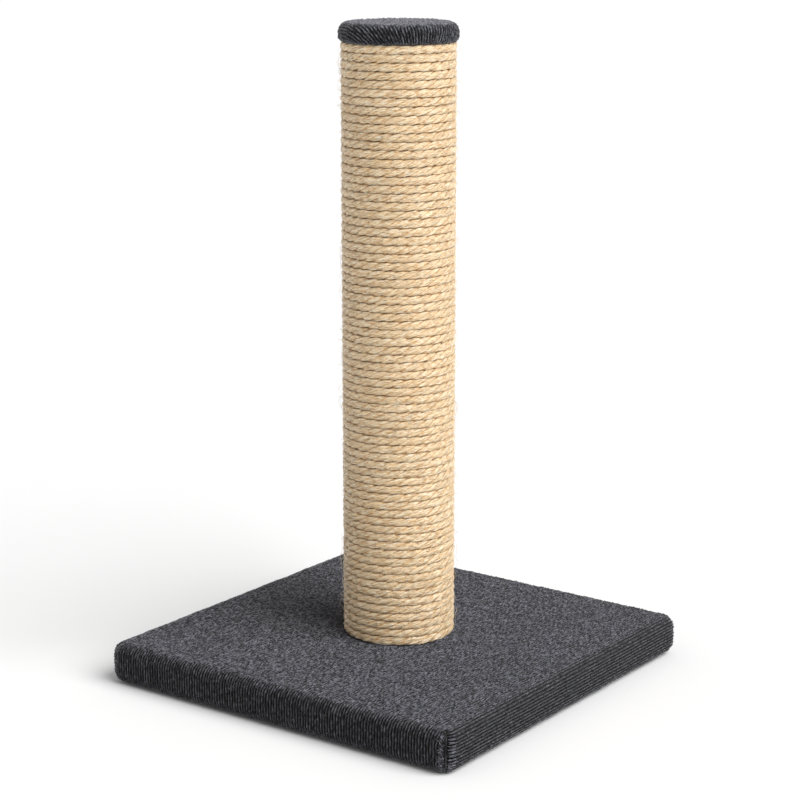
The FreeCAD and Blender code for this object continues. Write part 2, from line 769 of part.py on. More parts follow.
def make_cap_disc_blank():
    body = new_body("cap_disc_blank", DISC_BOTTOM)
    radius = half(size("cap_disc_diameter"))
    top = size("cap_disc_thickness")
    shoulder = less(top, size("cap_bolt_head"))
    corners = [
        (BOLT_HOLE_RADIUS, "0"),
        (radius, "0"),
        (radius, top),
        (add(CONE_RADIUS, size("bolt_clearance")), top),
        (BOLT_HOLE_RADIUS, shoulder),
    ]
    lathe(body, "disc", corners)
    rim = level_at((0.0, value(top)), value(radius), value(radius))
    dress(body, "Fillet", "disc_edges", CAP_EDGE_RADIUS, rim)
    return body


def make_cap_cover_blank():
    """The carpet of the cap: over its top, round its edge and turned in under it."""
    body = new_body("cap_carpet_blank", TUBE_TOP)
    corners = [
        (CAP_OPENING_RADIUS, "0"),
        (CAP_RADIUS, "0"),
        (CAP_RADIUS, CAP_HEIGHT),
        ("0", CAP_HEIGHT),
        ("0", CAP_CAVITY_TOP),
        (CAP_CAVITY_RADIUS, CAP_CAVITY_TOP),
        (CAP_CAVITY_RADIUS, size("carpet_thickness")),
        (CAP_OPENING_RADIUS, size("carpet_thickness")),
    ]
    lathe(body, "cover", corners)
    radius, height = value(CAP_RADIUS), value(CAP_HEIGHT)
    outer = level_at((0.0, height), radius, radius)
    dress(body, "Fillet", "outer_edges", add(CAP_EDGE_RADIUS, SKIN), outer)
    radius = value(CAP_CAVITY_RADIUS)
    levels = (value(size("carpet_thickness")), value(CAP_CAVITY_TOP))
    inner = level_at(levels, radius, radius)
    dress(body, "Fillet", "inner_edges", add(CAP_EDGE_RADIUS, size("glue_line")), inner)
    return body


def make_cap():
    tool = make_staple_tool("cap_staple_slots", cap_staple_spots())
    keep(cut_from("cap_disc", make_cap_disc_blank(), tool))
    keep(cut_from("cap_carpet", make_cap_cover_blank(), tool))
    keep(group("cap_hem_staples", placed(staple(), cap_staple_spots())))


# ---------------------------------------------------------------- build, check and write


def check(item):
    troubles = {"Invalid", "Error"} & set(item.State)
    if troubles:
        raise RuntimeError("%s is %s" % (item.Label, ", ".join(sorted(troubles))))


def write(item):
    shape = item.Shape
    if shape.isNull() or not shape.isValid() or not shape.Solids:
        raise RuntimeError(item.Label + " has no valid solid")
    shape.exportStep("parts/" + item.Label + ".step")


def main():
    make_base()
    make_base_bolt()
    make_washer()
    make_core()
    make_windings()
    make_cap()
    make_cap_bolt()
    doc.recompute()
    for item in doc.Objects:
        check(item)
    for item in kept:
        write(item)
    box = Part.makeCompound([item.Shape for item in kept]).BoundBox
    print("%d sub-parts" % len(kept))
    print("%.1f x %.1f x %.1f mm" % (box.XLength, box.YLength, box.ZLength))


main()
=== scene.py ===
"""Cat scratching post: closely wound with sisal rope, with a carpeted base and cap.

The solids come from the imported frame. The two carpets, the liner and the rope windings are
built here in full detail and stand for their plain solids; every other solid keeps its shape
and gets a finish. Metres, +Z up, with the origin on the floor under the middle of the base.
"""

import json
import logging
import math
from dataclasses import dataclass
from enum import Enum
from typing import Sequence

import bmesh
import bpy
import numpy as np
from mathutils import Matrix, Vector


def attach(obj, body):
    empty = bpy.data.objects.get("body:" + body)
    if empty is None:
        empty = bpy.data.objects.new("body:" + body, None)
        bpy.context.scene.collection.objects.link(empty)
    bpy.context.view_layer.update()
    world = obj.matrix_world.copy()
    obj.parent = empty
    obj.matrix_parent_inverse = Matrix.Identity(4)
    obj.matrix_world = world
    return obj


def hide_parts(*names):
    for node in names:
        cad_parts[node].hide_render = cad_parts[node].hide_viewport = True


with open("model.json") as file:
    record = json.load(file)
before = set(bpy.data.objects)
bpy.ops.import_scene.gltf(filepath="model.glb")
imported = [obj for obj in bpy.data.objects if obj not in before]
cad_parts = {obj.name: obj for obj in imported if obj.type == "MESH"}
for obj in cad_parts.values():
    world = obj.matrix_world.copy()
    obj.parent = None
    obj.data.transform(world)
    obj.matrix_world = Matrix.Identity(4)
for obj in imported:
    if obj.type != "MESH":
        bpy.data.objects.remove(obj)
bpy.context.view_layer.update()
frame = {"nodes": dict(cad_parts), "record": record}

LOG = logging.getLogger("scratching_post")
MM = 0.001
BODY = "root"

Colour = tuple[float, float, float]
Scale = tuple[float, float, float]  # cycles per metre along each axis
Span = tuple[float, float]  # least and most
Socket = bpy.types.NodeSocket
Points = np.ndarray


class Slot(Enum):
    """The record's material slots."""

    CARPET = "carpet"
    SISAL = "sisal"
    FIBREBOARD = "fibreboard"
    PLUG_WOOD = "plug_wood"
    TUBE_BOARD = "tube_board"
    LINER = "liner"
    PAD_RUBBER = "pad_rubber"
    ZINC_STEEL = "zinc_steel"


# ------------------------------------------------------------------------------ node graphs


class NodeGraph:
    """A material's node tree, with short calls to add nodes and to join them."""

    # The Mix node's sockets for colours.
    MIX_SHARE, MIX_FIRST, MIX_SECOND, MIX_RESULT = 0, 6, 7, 2

    def __init__(self, name: str) -> None:
        """Starts a material with a Principled shader and its output.

        Args:
            name: the material's name.
        """
        self.material = bpy.data.materials.new(name)
        self.material.use_nodes = True
        self.tree = self.material.node_tree
        self.tree.nodes.clear()
        self.shader = self.add("ShaderNodeBsdfPrincipled")
        output = self.add("ShaderNodeOutputMaterial")
        self.join(self.shader.outputs["BSDF"], output.inputs["Surface"])

    def add(self, kind: str, **settings: object) -> bpy.types.Node:
        """Adds a node.

        Args:
            kind: the node's type.
            settings: its properties, by name.

        Returns:
            The new node.
        """
        node = self.tree.nodes.new(kind)
        for name, value in settings.items():
            setattr(node, name, value)
        return node

    def join(self, source: Socket, target: Socket) -> None:
        """Links an output to an input."""
        self.tree.links.new(source, target)

    def feed(self, target: Socket, value: Socket | Colour | float) -> None:
        """Gives an input a link, a colour or a number."""
        if isinstance(value, Socket):
            self.join(value, target)
        else:
            target.default_value = (*value, 1.0) if isinstance(value, tuple) else value

    @staticmethod
    def tune(node: bpy.types.Node, **values: float | Scale) -> None:
        """Sets sockets of a node, named with _ for each space."""
        for name, value in values.items():
            node.inputs[name.replace("_", " ")].default_value = value

    def set(self, **values: float) -> None:
        """Sets sockets of the shader."""
        self.tune(self.shader, **values)

    def place(self) -> Socket:
        """The piece's Object coordinates."""
        return self.add("ShaderNodeTexCoord").outputs["Object"]

    def attribute(self, name: str, output: str = "Fac") -> Socket:
        """An attribute of the piece's own mesh."""
        return self.add("ShaderNodeAttribute", attribute_name=name).outputs[output]

    def axes(self, place: Socket) -> bpy.types.NodeOutputs:
        """A vector's X, Y and Z."""
        node = self.add("ShaderNodeSeparateXYZ")
        self.join(place, node.inputs[0])
        return node.outputs

    def scaled(self, place: Socket, scale: Scale) -> Socket:
        """A vector times a scale per axis."""
        mapping = self.add("ShaderNodeMapping")
        self.tune(mapping, Scale=scale)
        self.join(place, mapping.inputs["Vector"])
        return mapping.outputs["Vector"]

    def noise(
        self,
        place: Socket,
        scale: Scale,
        detail: float = 2.0,
        roughness: float = 0.5,
        distortion: float = 0.0,
    ) -> Socket:
        """A noise texture's value, about 0.5 on average.

        Args:
            place: the coordinates that it reads.
            scale: cycles per metre along each axis.
            detail: how many finer layers it has.
            roughness: strength of each finer layer, as a share of the last.
            distortion: how far it is bent.

        Returns:
            The value.
        """
        node = self.add("ShaderNodeTexNoise")
        self.tune(
            node, Scale=1.0, Detail=detail, Roughness=roughness, Distortion=distortion
        )
        self.join(self.scaled(place, scale), node.inputs["Vector"])
        return node.outputs["Fac"]

    def ramp(
        self, value: Socket, stops: Sequence[tuple[float, Colour | float]]
    ) -> Socket:
        """A colour ramp.

        Args:
            value: what it reads, from 0 to 1.
            stops: place and colour, or place and grey level.

        Returns:
            The ramp's colour output.
        """
        node = self.add("ShaderNodeValToRGB")
        elements = node.color_ramp.elements
        while len(elements) < len(stops):
            elements.new(0.5)
        for element, (place, colour) in zip(elements, stops):
            rgb = colour if isinstance(colour, tuple) else (colour,) * 3
            element.position = place
            element.color = (*rgb, 1.0)
        self.join(value, node.inputs["Fac"])
        return node.outputs["Color"]

    def math(self, operation: str, *values: Socket | float) -> Socket:
        """One step of arithmetic on one or two values, by Blender's name for it."""
        node = self.add("ShaderNodeMath", operation=operation)
        for target, value in zip(node.inputs, values):
            self.feed(target, value)
        return node.outputs["Value"]

    def weighted(self, *parts: tuple[Socket, float]) -> Socket:
        """The sum of two values, each times its weight."""
        return self.math("ADD", *(self.math("MULTIPLY", *part) for part in parts))

    def mix(
        self,
        first: Socket | Colour,
        second: Socket | Colour,
        share: Socket | float,
        blend: str = "MIX",
    ) -> Socket:
        """Two colours mixed.

        Args:
            first: the colour at share 0.
            second: the colour at share 1.
            share: how much of the second.
            blend: Blender's name for how they mix.

        Returns:
            The mixed colour.
        """
        node = self.add("ShaderNodeMix", data_type="RGBA", blend_type=blend)
        self.feed(node.inputs[self.MIX_FIRST], first)
        self.feed(node.inputs[self.MIX_SECOND], second)
        self.feed(node.inputs[self.MIX_SHARE], share)
        return node.outputs[self.MIX_RESULT]

    def times(self, first: Socket, *others: Socket | Colour) -> Socket:
        """A colour times each of some others."""
        for other in others:
            first = self.mix(first, other, 1.0, "MULTIPLY")
        return first

    def colour(self, source: Socket) -> None:
        """Gives the shader its base colour."""
        self.join(source, self.shader.inputs["Base Color"])

    def roughness(self, source: Socket) -> None:
        """Gives the shader a roughness that varies."""
        self.join(source, self.shader.inputs["Roughness"])

    def bump(self, height: Socket, relief: float) -> None:
        """Adds a bump to the shader, over any bump that it has already.

        Args:
            height: from 0 to 1.
            relief: metres from 0 to 1.
        """
        node = self.add("ShaderNodeBump")
        self.tune(node, Strength=1.0, Distance=relief)
        self.join(height, node.inputs["Height"])
        normal = self.shader.inputs["Normal"]
        if normal.is_linked:
            self.join(normal.links[0].from_socket, node.inputs["Normal"])
        self.join(node.outputs["Normal"], normal)


# --------------------------------------------------------------------------------- finishes


@dataclass(frozen=True)
class CarpetFinish:
    """Charcoal carpet of dark and light fibres, read from the flat cloth's own map; painted
    shade in its grooves, painted light on its tops.
    """

    dark: Colour = (0.009, 0.009, 0.010)
    middle: Colour = (0.039, 0.039, 0.046)
    light: Colour = (0.21, 0.21, 0.245)
    fibre_grain: Scale = (1150, 250, 900)
    fleck_grain: Scale = (1100, 330, 700)
    cloud_grain: Scale = (45, 30, 40)
    fleck_share: float = 0.45

    def material(self) -> bpy.types.Material:
        """Makes the carpet's material."""
        graph = NodeGraph("ribbed_carpet")
        cloth = graph.attribute("cloth", "Vector")
        fibres = graph.noise(cloth, self.fibre_grain, 3, roughness=0.6, distortion=0.3)
        flecks = graph.noise(cloth, self.fleck_grain, 2, distortion=0.4)
        clouds = graph.noise(cloth, self.cloud_grain, 3, roughness=0.6)
        shades = [(0.38, self.dark), (0.50, self.middle), (0.66, self.light)]
        flecked = graph.ramp(flecks, [(0.50, self.dark), (0.60, self.light)])
        worn = graph.mix(graph.ramp(fibres, shades), flecked, self.fleck_share)
        # Painted shade in the grooves between the ribs and in the seams, read from each
        # place's crown.
        painted_groove_shade = [(0.0, 0.03), (0.6, 0.17), (0.9, 1.0), (1.0, 1.1)]
        depth = graph.ramp(graph.attribute("crown"), painted_groove_shade)
        # Clouds of dust, times the painted light on the top and painted shade on the sides.
        dusty = graph.ramp(clouds, [(0.3, 0.9), (0.7, 1.08)])
        dust_and_painted_light = graph.times(dusty, graph.attribute("dust_and_painted_light", "Color"))
        graph.colour(graph.times(worn, depth, dust_and_painted_light))
        graph.set(
            Roughness=0.95,
            Specular_IOR_Level=0.15,
            Sheen_Weight=0.4,
            Sheen_Roughness=0.4,
        )
        graph.bump(fibres, relief=0.9 * MM)
        return graph.material


@dataclass(frozen=True)
class PileFinish:
    """Single carpet fibres, each with a grey of its own."""

    dark: Colour = (0.010, 0.010, 0.011)
    middle: Colour = (0.037, 0.037, 0.044)
    light: Colour = (0.20, 0.20, 0.235)
    # Mostly reached by fibres that the painted light gain raises, on the cap.
    pale: Colour = (0.48, 0.48, 0.53)
    grain: Scale = (900, 900, 900)
    shade_share: float = 0.5
    grain_share: float = 0.12

    def material(self) -> bpy.types.Material:
        """Makes the fibres' material."""
        graph = NodeGraph("carpet_fibre")
        along = graph.noise(graph.place(), self.grain)
        shade = graph.attribute("shade")
        mixed = graph.weighted((shade, self.shade_share), (along, self.grain_share))
        shades = [(0.08, self.dark), (0.3, self.middle), (0.5, self.light)]
        graph.colour(graph.ramp(mixed, [*shades, (1.0, self.pale)]))
        graph.set(
            Roughness=0.9,
            Specular_IOR_Level=0.2,
            Sheen_Weight=0.4,
            Sheen_Roughness=0.4,
        )
        return graph.material


@dataclass(frozen=True)
class SisalFinish:
    """Natural sisal: cream and golden fibres laid in strands, with painted shade in its
    grooves and furrows.

    Its grains are read along the rope's own lay: along the fibres first, then across them.
    """

    cream: Colour = (1.0, 0.885, 0.665)
    straw: Colour = (0.94, 0.72, 0.44)
    golden: Colour = (0.66, 0.40, 0.17)
    fibre_grain: Scale = (260, 2300, 2300)
    yarn_grain: Scale = (240, 950, 950)
    batch_grain: Scale = (9, 120, 120)
    waver_grain: Scale = (160, 300, 300)
    fibre_share: float = 0.4
    yarn_share: float = 0.6
    furrows: float = 17.0  # round the rope
    waver: float = 14.0  # how far the furrows wander, in radians
    straw_share: float = 0.6  # that the darkest strands take on

    def material(self) -> bpy.types.Material:
        """Makes the rope's material, with its fibres along the rope's own lay."""
        graph = NodeGraph("natural_sisal")
        lay = graph.attribute("lay", "Vector")
        fine = graph.noise(lay, self.fibre_grain, 3, roughness=0.6, distortion=0.3)
        yarns = graph.noise(lay, self.yarn_grain, 2, distortion=0.2)
        batch = graph.noise(lay, self.batch_grain)
        blend = graph.weighted((fine, self.fibre_share), (yarns, self.yarn_share))
        shades = [(0.42, self.golden), (0.48, self.straw), (0.54, self.cream)]
        dull = graph.math("SUBTRACT", 1.0, graph.attribute("tone"))
        dull = graph.math("MULTIPLY", dull, self.straw_share)
        warm = graph.mix(graph.ramp(blend, shades), self.straw, dull)
        # Painted shade in the grooves between strands and where rows meet, read from the
        # crown.
        painted_groove_shade = [(0.0, (0.66, 0.47, 0.30)), (0.25, (0.97, 0.91, 0.82)), (0.5, 1.0)]
        depth = graph.ramp(graph.attribute("crown"), painted_groove_shade)
        ridge = self._ridge(graph, lay)
        # Painted shade in the furrows between the yarns.
        furrow = graph.ramp(ridge, [(0.0, (0.82, 0.70, 0.56)), (0.45, 1.0)])
        patch = graph.ramp(batch, [(0.3, (0.96, 0.94, 0.90)), (0.7, (1.04, 1.03, 1.02))])
        graph.colour(graph.times(warm, depth, furrow, patch))
        graph.set(
            Roughness=0.34,
            Specular_IOR_Level=0.7,
            Sheen_Weight=0.1,
            Sheen_Roughness=0.35,
        )
        graph.bump(ridge, relief=0.3 * MM)
        graph.bump(yarns, relief=0.8 * MM)
        graph.bump(fine, relief=0.4 * MM)
        return graph.material

    def _ridge(self, graph: NodeGraph, lay: Socket) -> Socket:
        """The furrows between the yarns: 0 in a furrow, 1 on a ridge."""
        across = graph.axes(lay)
        angle = graph.math("ARCTAN2", across["Z"], across["Y"])
        waver = graph.noise(lay, self.waver_grain)
        phase = graph.weighted((angle, self.furrows), (waver, self.waver))
        swing = graph.math("MULTIPLY", graph.math("SINE", phase), 0.5)
        return graph.math("ADD", swing, 0.5)


@dataclass(frozen=True)
class HairFinish:
    """Loose sisal fibres."""

    white: Colour = (1.0, 0.94, 0.80)
    pale: Colour = (0.96, 0.80, 0.55)
    brown: Colour = (0.50, 0.29, 0.115)

    def material(self) -> bpy.types.Material:
        """Makes the loose fibres' material."""
        graph = NodeGraph("loose_sisal_fibre")
        shades = [(0.0, self.brown), (0.45, self.pale), (0.9, self.white)]
        graph.colour(graph.ramp(graph.attribute("shade"), shades))
        graph.set(Roughness=0.33, Specular_IOR_Level=0.9)
        return graph.material


@dataclass(frozen=True)
class FibreboardFinish:
    """Raw pressed fibreboard: fine brown chips in soft clouds."""

    pale: Colour = (0.50, 0.36, 0.225)
    brown: Colour = (0.28, 0.18, 0.10)
    chip_grain: Scale = (700, 700, 1400)
    cloud_grain: Scale = (40, 40, 40)

    def material(self) -> bpy.types.Material:
        """Makes the board's material."""
        graph = NodeGraph("raw_fibreboard")
        chips = graph.noise(graph.place(), self.chip_grain, 4, roughness=0.65)
        clouds = graph.noise(graph.place(), self.cloud_grain)
        body = graph.ramp(chips, [(0.3, self.brown), (0.62, self.pale)])
        graph.colour(graph.times(body, graph.ramp(clouds, [(0.3, 0.88), (0.7, 1.05)])))
        graph.set(Roughness=0.88, Specular_IOR_Level=0.2)
        graph.bump(chips, relief=0.2 * MM)
        return graph.material


@dataclass(frozen=True)
class PlywoodFinish:
    """Birch plywood: grain on the faces and darker plies round the edge."""

    pale: Colour = (0.70, 0.53, 0.33)
    brown: Colour = (0.40, 0.26, 0.13)
    grain: Scale = (60, 900, 900)
    ply_pitch: float = 3.3 * MM
    ply_share: float = 0.7  # of the plies' own shade
    wave_length: float = 0.314  # of a wave texture whose scale is 1

    def material(self) -> bpy.types.Material:
        """Makes the plug's material."""
        graph = NodeGraph("raw_plywood")
        grain = graph.noise(graph.place(), self.grain, 4, roughness=0.6, distortion=0.4)
        body = graph.ramp(grain, [(0.3, self.brown), (0.55, self.pale)])
        wave = graph.add("ShaderNodeTexWave", bands_direction="Z")
        graph.tune(wave, Scale=self.wave_length / self.ply_pitch, Distortion=0.4)
        graph.join(graph.place(), wave.inputs["Vector"])
        plies = graph.ramp(wave.outputs["Fac"], [(0.35, 0.62), (0.6, 1.0)])
        graph.colour(graph.mix(body, plies, self.ply_share, "MULTIPLY"))
        graph.set(Roughness=0.8, Specular_IOR_Level=0.25)
        graph.bump(grain, relief=0.15 * MM)
        return graph.material


@dataclass(frozen=True)
class CardboardFinish:
    """Spirally wound grey-brown cardboard."""

    pale: Colour = (0.47, 0.36, 0.24)
    brown: Colour = (0.27, 0.19, 0.115)
    fibre_grain: Scale = (500, 500, 160)
    speck_grain: Scale = (1700, 1700, 1700)
    spiral_pitch: float = 88 * MM

    def material(self) -> bpy.types.Material:
        """Makes the tube's material."""
        graph = NodeGraph("wound_cardboard")
        place = graph.place()
        fibres = graph.noise(place, self.fibre_grain, 4, roughness=0.6, distortion=0.3)
        specks = graph.noise(place, self.speck_grain, 1)
        body = graph.ramp(fibres, [(0.3, self.brown), (0.6, self.pale)])
        specks = graph.ramp(specks, [(0.68, 0.0), (0.76, 0.7)])
        specked = graph.mix(body, self.brown, specks)
        axes = graph.axes(place)
        bearing = graph.math("ARCTAN2", axes["Y"], axes["X"])
        turn = graph.math("DIVIDE", bearing, 2 * math.pi)
        rise = graph.math("DIVIDE", axes["Z"], self.spiral_pitch)
        strip = graph.math("FRACT", graph.math("ADD", turn, rise))
        joint = graph.ramp(strip, [(0.0, 0.45), (0.012, 0.5), (0.02, 1.0)])
        graph.colour(graph.times(specked, joint))
        graph.set(Roughness=0.85, Specular_IOR_Level=0.2)
        graph.bump(fibres, relief=0.12 * MM)
        return graph.material


@dataclass(frozen=True)
class ZincFinish:
    """Zinc-plated steel: bright, with faint cloudy crystals and fine scratches."""

    tint: Colour = (0.66, 0.665, 0.64)
    dull: Colour = (0.50, 0.505, 0.49)
    cloud_grain: Scale = (320, 320, 320)
    scratch_grain: Scale = (250, 2600, 2600)

    def material(self) -> bpy.types.Material:
        """Makes the hardware's material."""
        graph = NodeGraph("zinc_plated_steel")
        clouds = graph.noise(graph.place(), self.cloud_grain, 3)
        scratches = graph.noise(graph.place(), self.scratch_grain)
        graph.colour(graph.ramp(clouds, [(0.35, self.dull), (0.65, self.tint)]))
        graph.roughness(graph.ramp(clouds, [(0.3, 0.42), (0.7, 0.28)]))
        graph.set(Metallic=1.0)
        graph.bump(scratches, relief=0.02 * MM)
        return graph.material


@dataclass(frozen=True)
class RubberFinish:
    """Matt black moulded rubber with a fine pebbled skin and some dust."""

    black: Colour = (0.030, 0.030, 0.032)
    dusty: Colour = (0.085, 0.083, 0.080)
    pebble_grain: Scale = (1500, 1500, 1500)
    dust_grain: Scale = (120, 120, 120)

    def material(self) -> bpy.types.Material:
        """Makes the pads' material."""
        graph = NodeGraph("moulded_rubber")
        pebbles = graph.noise(graph.place(), self.pebble_grain)
        dust = graph.noise(graph.place(), self.dust_grain, 3)
        graph.colour(graph.ramp(dust, [(0.45, self.black), (0.8, self.dusty)]))
        graph.roughness(graph.ramp(dust, [(0.3, 0.62), (0.7, 0.8)]))
        graph.set(Specular_IOR_Level=0.35)
        graph.bump(pebbles, relief=0.08 * MM)
        return graph.material


@dataclass(frozen=True)
class NonwovenFinish:
    """Thin black non-woven sheet with its grid of bonded dots."""

    black: Colour = (0.030, 0.030, 0.032)
    grey: Colour = (0.075, 0.075, 0.08)
    dot_shade: Colour = (0.45, 0.45, 0.45)
    thread_grain: Scale = (900, 260, 500)
    dot_pitch: float = 1.6 * MM

    def material(self) -> bpy.types.Material:
        """Makes the liner's material."""
        graph = NodeGraph("nonwoven_sheet")
        dots = graph.add("ShaderNodeTexVoronoi", feature="F1", voronoi_dimensions="2D")
        graph.tune(dots, Scale=1.0, Randomness=0.12)
        grid = graph.scaled(graph.place(), (1 / self.dot_pitch,) * 3)
        graph.join(grid, dots.inputs["Vector"])
        bond = graph.ramp(dots.outputs["Distance"], [(0.18, 0.0), (0.30, 1.0)])
        threads = graph.noise(
            graph.place(), self.thread_grain, 4, roughness=0.7, distortion=1.5
        )
        body = graph.ramp(threads, [(0.35, self.black), (0.7, self.grey)])
        graph.colour(graph.mix(graph.times(body, self.dot_shade), body, bond))
        graph.set(Roughness=0.85, Specular_IOR_Level=0.3)
        graph.bump(bond, relief=0.12 * MM)
        return graph.material


# ----------------------------------------------------------------------------- mesh helpers


def new_piece(name: str, mesh: bpy.types.Mesh) -> bpy.types.Object:
    """Puts a mesh into the scene.

    Args:
        name: the piece's name.
        mesh: its mesh, in place.

    Returns:
        The piece, at the origin.
    """
    mesh.name = name
    piece = bpy.data.objects.new(name, mesh)
    bpy.context.scene.collection.objects.link(piece)
    return piece


def mesh_from(name: str, bm: bmesh.types.BMesh) -> bpy.types.Mesh:
    """Turns a bmesh into a mesh and frees it."""
    mesh = bpy.data.meshes.new(name)
    bm.to_mesh(mesh)
    bm.free()
    return mesh


def read_points(mesh: bpy.types.Mesh) -> Points:
    """The places of a mesh's vertices, one row each."""
    flat = np.zeros(len(mesh.vertices) * 3, np.float32)
    mesh.vertices.foreach_get("co", flat)
    return flat.reshape(-1, 3).astype(float)


def write_points(mesh: bpy.types.Mesh, points: Points) -> None:
    """Moves a mesh's vertices."""
    mesh.vertices.foreach_set("co", points.astype(np.float32).ravel())
    mesh.update()


def add_values(mesh: bpy.types.Mesh, name: str, values: Points) -> None:
    """Adds an attribute to a mesh's vertices.

    Args:
        mesh: the mesh.
        name: the attribute's name.
        values: one number or one vector per vertex.
    """
    kind = "FLOAT" if values.ndim == 1 else "FLOAT_VECTOR"
    field = "value" if values.ndim == 1 else "vector"
    attribute = mesh.attributes.new(name, kind, "POINT")
    attribute.data.foreach_set(field, values.astype(np.float32).ravel())


def smooth(mesh: bpy.types.Mesh) -> None:
    """Shades every face of a mesh smooth."""
    mesh.polygons.foreach_set("use_smooth", np.ones(len(mesh.polygons), bool))


def take_mesh(holder: bpy.types.Object) -> bpy.types.Mesh:
    """The mesh that an object's modifiers or bevel give; the object itself is removed."""
    bpy.context.view_layer.update()
    graph = bpy.context.evaluated_depsgraph_get()
    mesh = bpy.data.meshes.new_from_object(holder.evaluated_get(graph))
    bpy.data.objects.remove(holder)
    return mesh


def close_outwards(mesh: bpy.types.Mesh) -> None:
    """Closes a shell's open ends, turns its faces outwards and shades them smooth."""
    bm = bmesh.new()
    bm.from_mesh(mesh)
    bmesh.ops.holes_fill(bm, edges=bm.edges, sides=0)
    bmesh.ops.recalc_face_normals(bm, faces=bm.faces)
    if bm.calc_volume(signed=True) < 0:
        bmesh.ops.reverse_faces(bm, faces=bm.faces)
    bm.to_mesh(mesh)
    bm.free()
    smooth(mesh)


def clamp_softly(values: Points, limit: float, softness: float) -> Points:
    """Values pressed flat as they near a limit, and never past it.

    Args:
        values: distances from the middle, either way.
        limit: the most that they may be.
        softness: how far before the limit the pressing starts.

    Returns:
        The pressed values.
    """
    size = np.abs(values)
    start = limit - softness
    over = np.maximum(size - start, 0.0)
    pressed = start + softness * np.tanh(over / softness)
    return np.sign(values) * np.where(size > start, pressed, size)


class Waves:
    """Smooth noise that is the same each run: a few sine waves in random directions."""

    SPREAD = (0.6, 1.5)  # of the waves' lengths, as shares

    def __init__(self, seed: int, scales: Sequence[float], count: int) -> None:
        """Draws the waves.

        Args:
            seed: of the random draws.
            scales: the wavelength along each axis.
            count: how many waves.
        """
        draw = np.random.default_rng(seed)
        ways = draw.normal(size=(count, len(scales)))
        ways /= np.linalg.norm(ways, axis=1, keepdims=True)
        spread = draw.uniform(*self.SPREAD, (count, 1))
        self.ways = ways * 2 * math.pi / np.array(scales) * spread
        self.phases = draw.uniform(0, 2 * math.pi, count)

    def at(self, *axes: Points) -> Points:
        """The noise at some places, about -1 to 1.

        Args:
            axes: the coordinates, one array per axis.

        Returns:
            One value per place.
        """
        total = 0.0
        for way, phase in zip(self.ways, self.phases):
            total = total + np.sin(sum(w * a for w, a in zip(way, axes)) + phase)
        return total / math.sqrt(len(self.phases))


# ----------------------------------------------------------------------------- loose fibres


ENDS_AND_MIDDLE = (-0.5, 0.0, 0.5)  # of a fibre, as shares of its length from its middle


@dataclass
class Fibres:
    """Many thin fibres made as one curve with a bevel, and kept as a mesh."""

    name: str
    lines: Points  # fibre, point, xyz
    thickness: Points  # one per fibre
    shades: Points  # one per fibre, from 0 up
    tip: float = 0.35  # thickness at the tips, as a share

    def build(self) -> bpy.types.Object:
        """Makes the piece.

        Returns:
            The fibres, as one mesh of closed strands.
        """
        curve = bpy.data.curves.new(self.name, "CURVE")
        curve.dimensions = "3D"
        curve.bevel_depth = 1.0
        curve.bevel_resolution = 0
        curve.use_fill_caps = True
        curve.resolution_u = 1
        count = self.lines.shape[1]
        taper = np.full(count, 1.0)
        taper[[0, -1]] = self.tip
        for line, thick in zip(self.lines, self.thickness):
            spline = curve.splines.new("POLY")
            spline.points.add(count - 1)
            places = np.column_stack([line, np.ones(count)])
            spline.points.foreach_set("co", places.astype(np.float32).ravel())
            spline.points.foreach_set("radius", (taper * thick / 2).astype(np.float32))
        holder = bpy.data.objects.new(self.name + "_line", curve)
        bpy.context.scene.collection.objects.link(holder)
        mesh = take_mesh(holder)
        bpy.data.curves.remove(curve)
        each = len(mesh.vertices) // len(self.lines)
        add_values(mesh, "shade", np.repeat(self.shades, each))
        smooth(mesh)
        return new_piece(self.name, mesh)


# ---------------------------------------------------------------------------- folded sheets


SEAM_DEPTH = 1.6 * MM  # of the base cover's corner seams, below its ribs
CLOTH_END = 0.05 * MM  # left off a round cloth at each side, where its chords end
TINY = 1e-9  # keeps a division from zero


@dataclass
class Fold:
    """How carpet goes over a board's edge: its outside line from the top to the hem."""

    half: float  # from the middle to the outside of the side
    top: float
    bottom: float
    radius: float  # of the upper edge
    under_radius: float  # of the lower edge
    opening: float  # from the middle to the hem's edge

    @property
    def flat_half(self) -> float:
        """From the middle to where the edge round starts."""
        return self.half - self.radius

    @property
    def stretches(self) -> tuple[float, float, float, float]:
        """Lengths of the top round, the side, the bottom round and the hem."""
        side = self.top - self.bottom - self.radius - self.under_radius
        hem = self.half - self.under_radius - self.opening
        quarter = math.pi / 2
        return self.radius * quarter, side, self.under_radius * quarter, hem

    @property
    def length(self) -> float:
        """Of the outside line, from the start of the top round to the hem's edge."""
        return sum(self.stretches)

    def at(self, travelled: Points) -> tuple[Points, Points, Points, Points]:
        """Follows the outside line.

        Args:
            travelled: distance from the start of the top round.

        Returns:
            How far out of flat_half each place is, its height, and its normal's share
            outwards and upwards.
        """
        first, side, second, _ = self.stretches
        turn_top = np.clip(travelled, 0, first) / self.radius
        down = np.clip(travelled - first, 0, side)
        turn_under = np.clip(travelled - first - side, 0, second) / self.under_radius
        inward = np.maximum(travelled - first - side - second, 0)
        out = self.radius * np.sin(turn_top) - inward
        out = out - self.under_radius * (1 - np.cos(turn_under))
        height = np.where(
            turn_under > 0,
            self.bottom + self.under_radius * (1 - np.sin(turn_under)),
            self.top - self.radius * (1 - np.cos(turn_top)) - down,
        )
        turn = turn_top + turn_under
        return out, height, np.sin(turn), np.cos(turn)


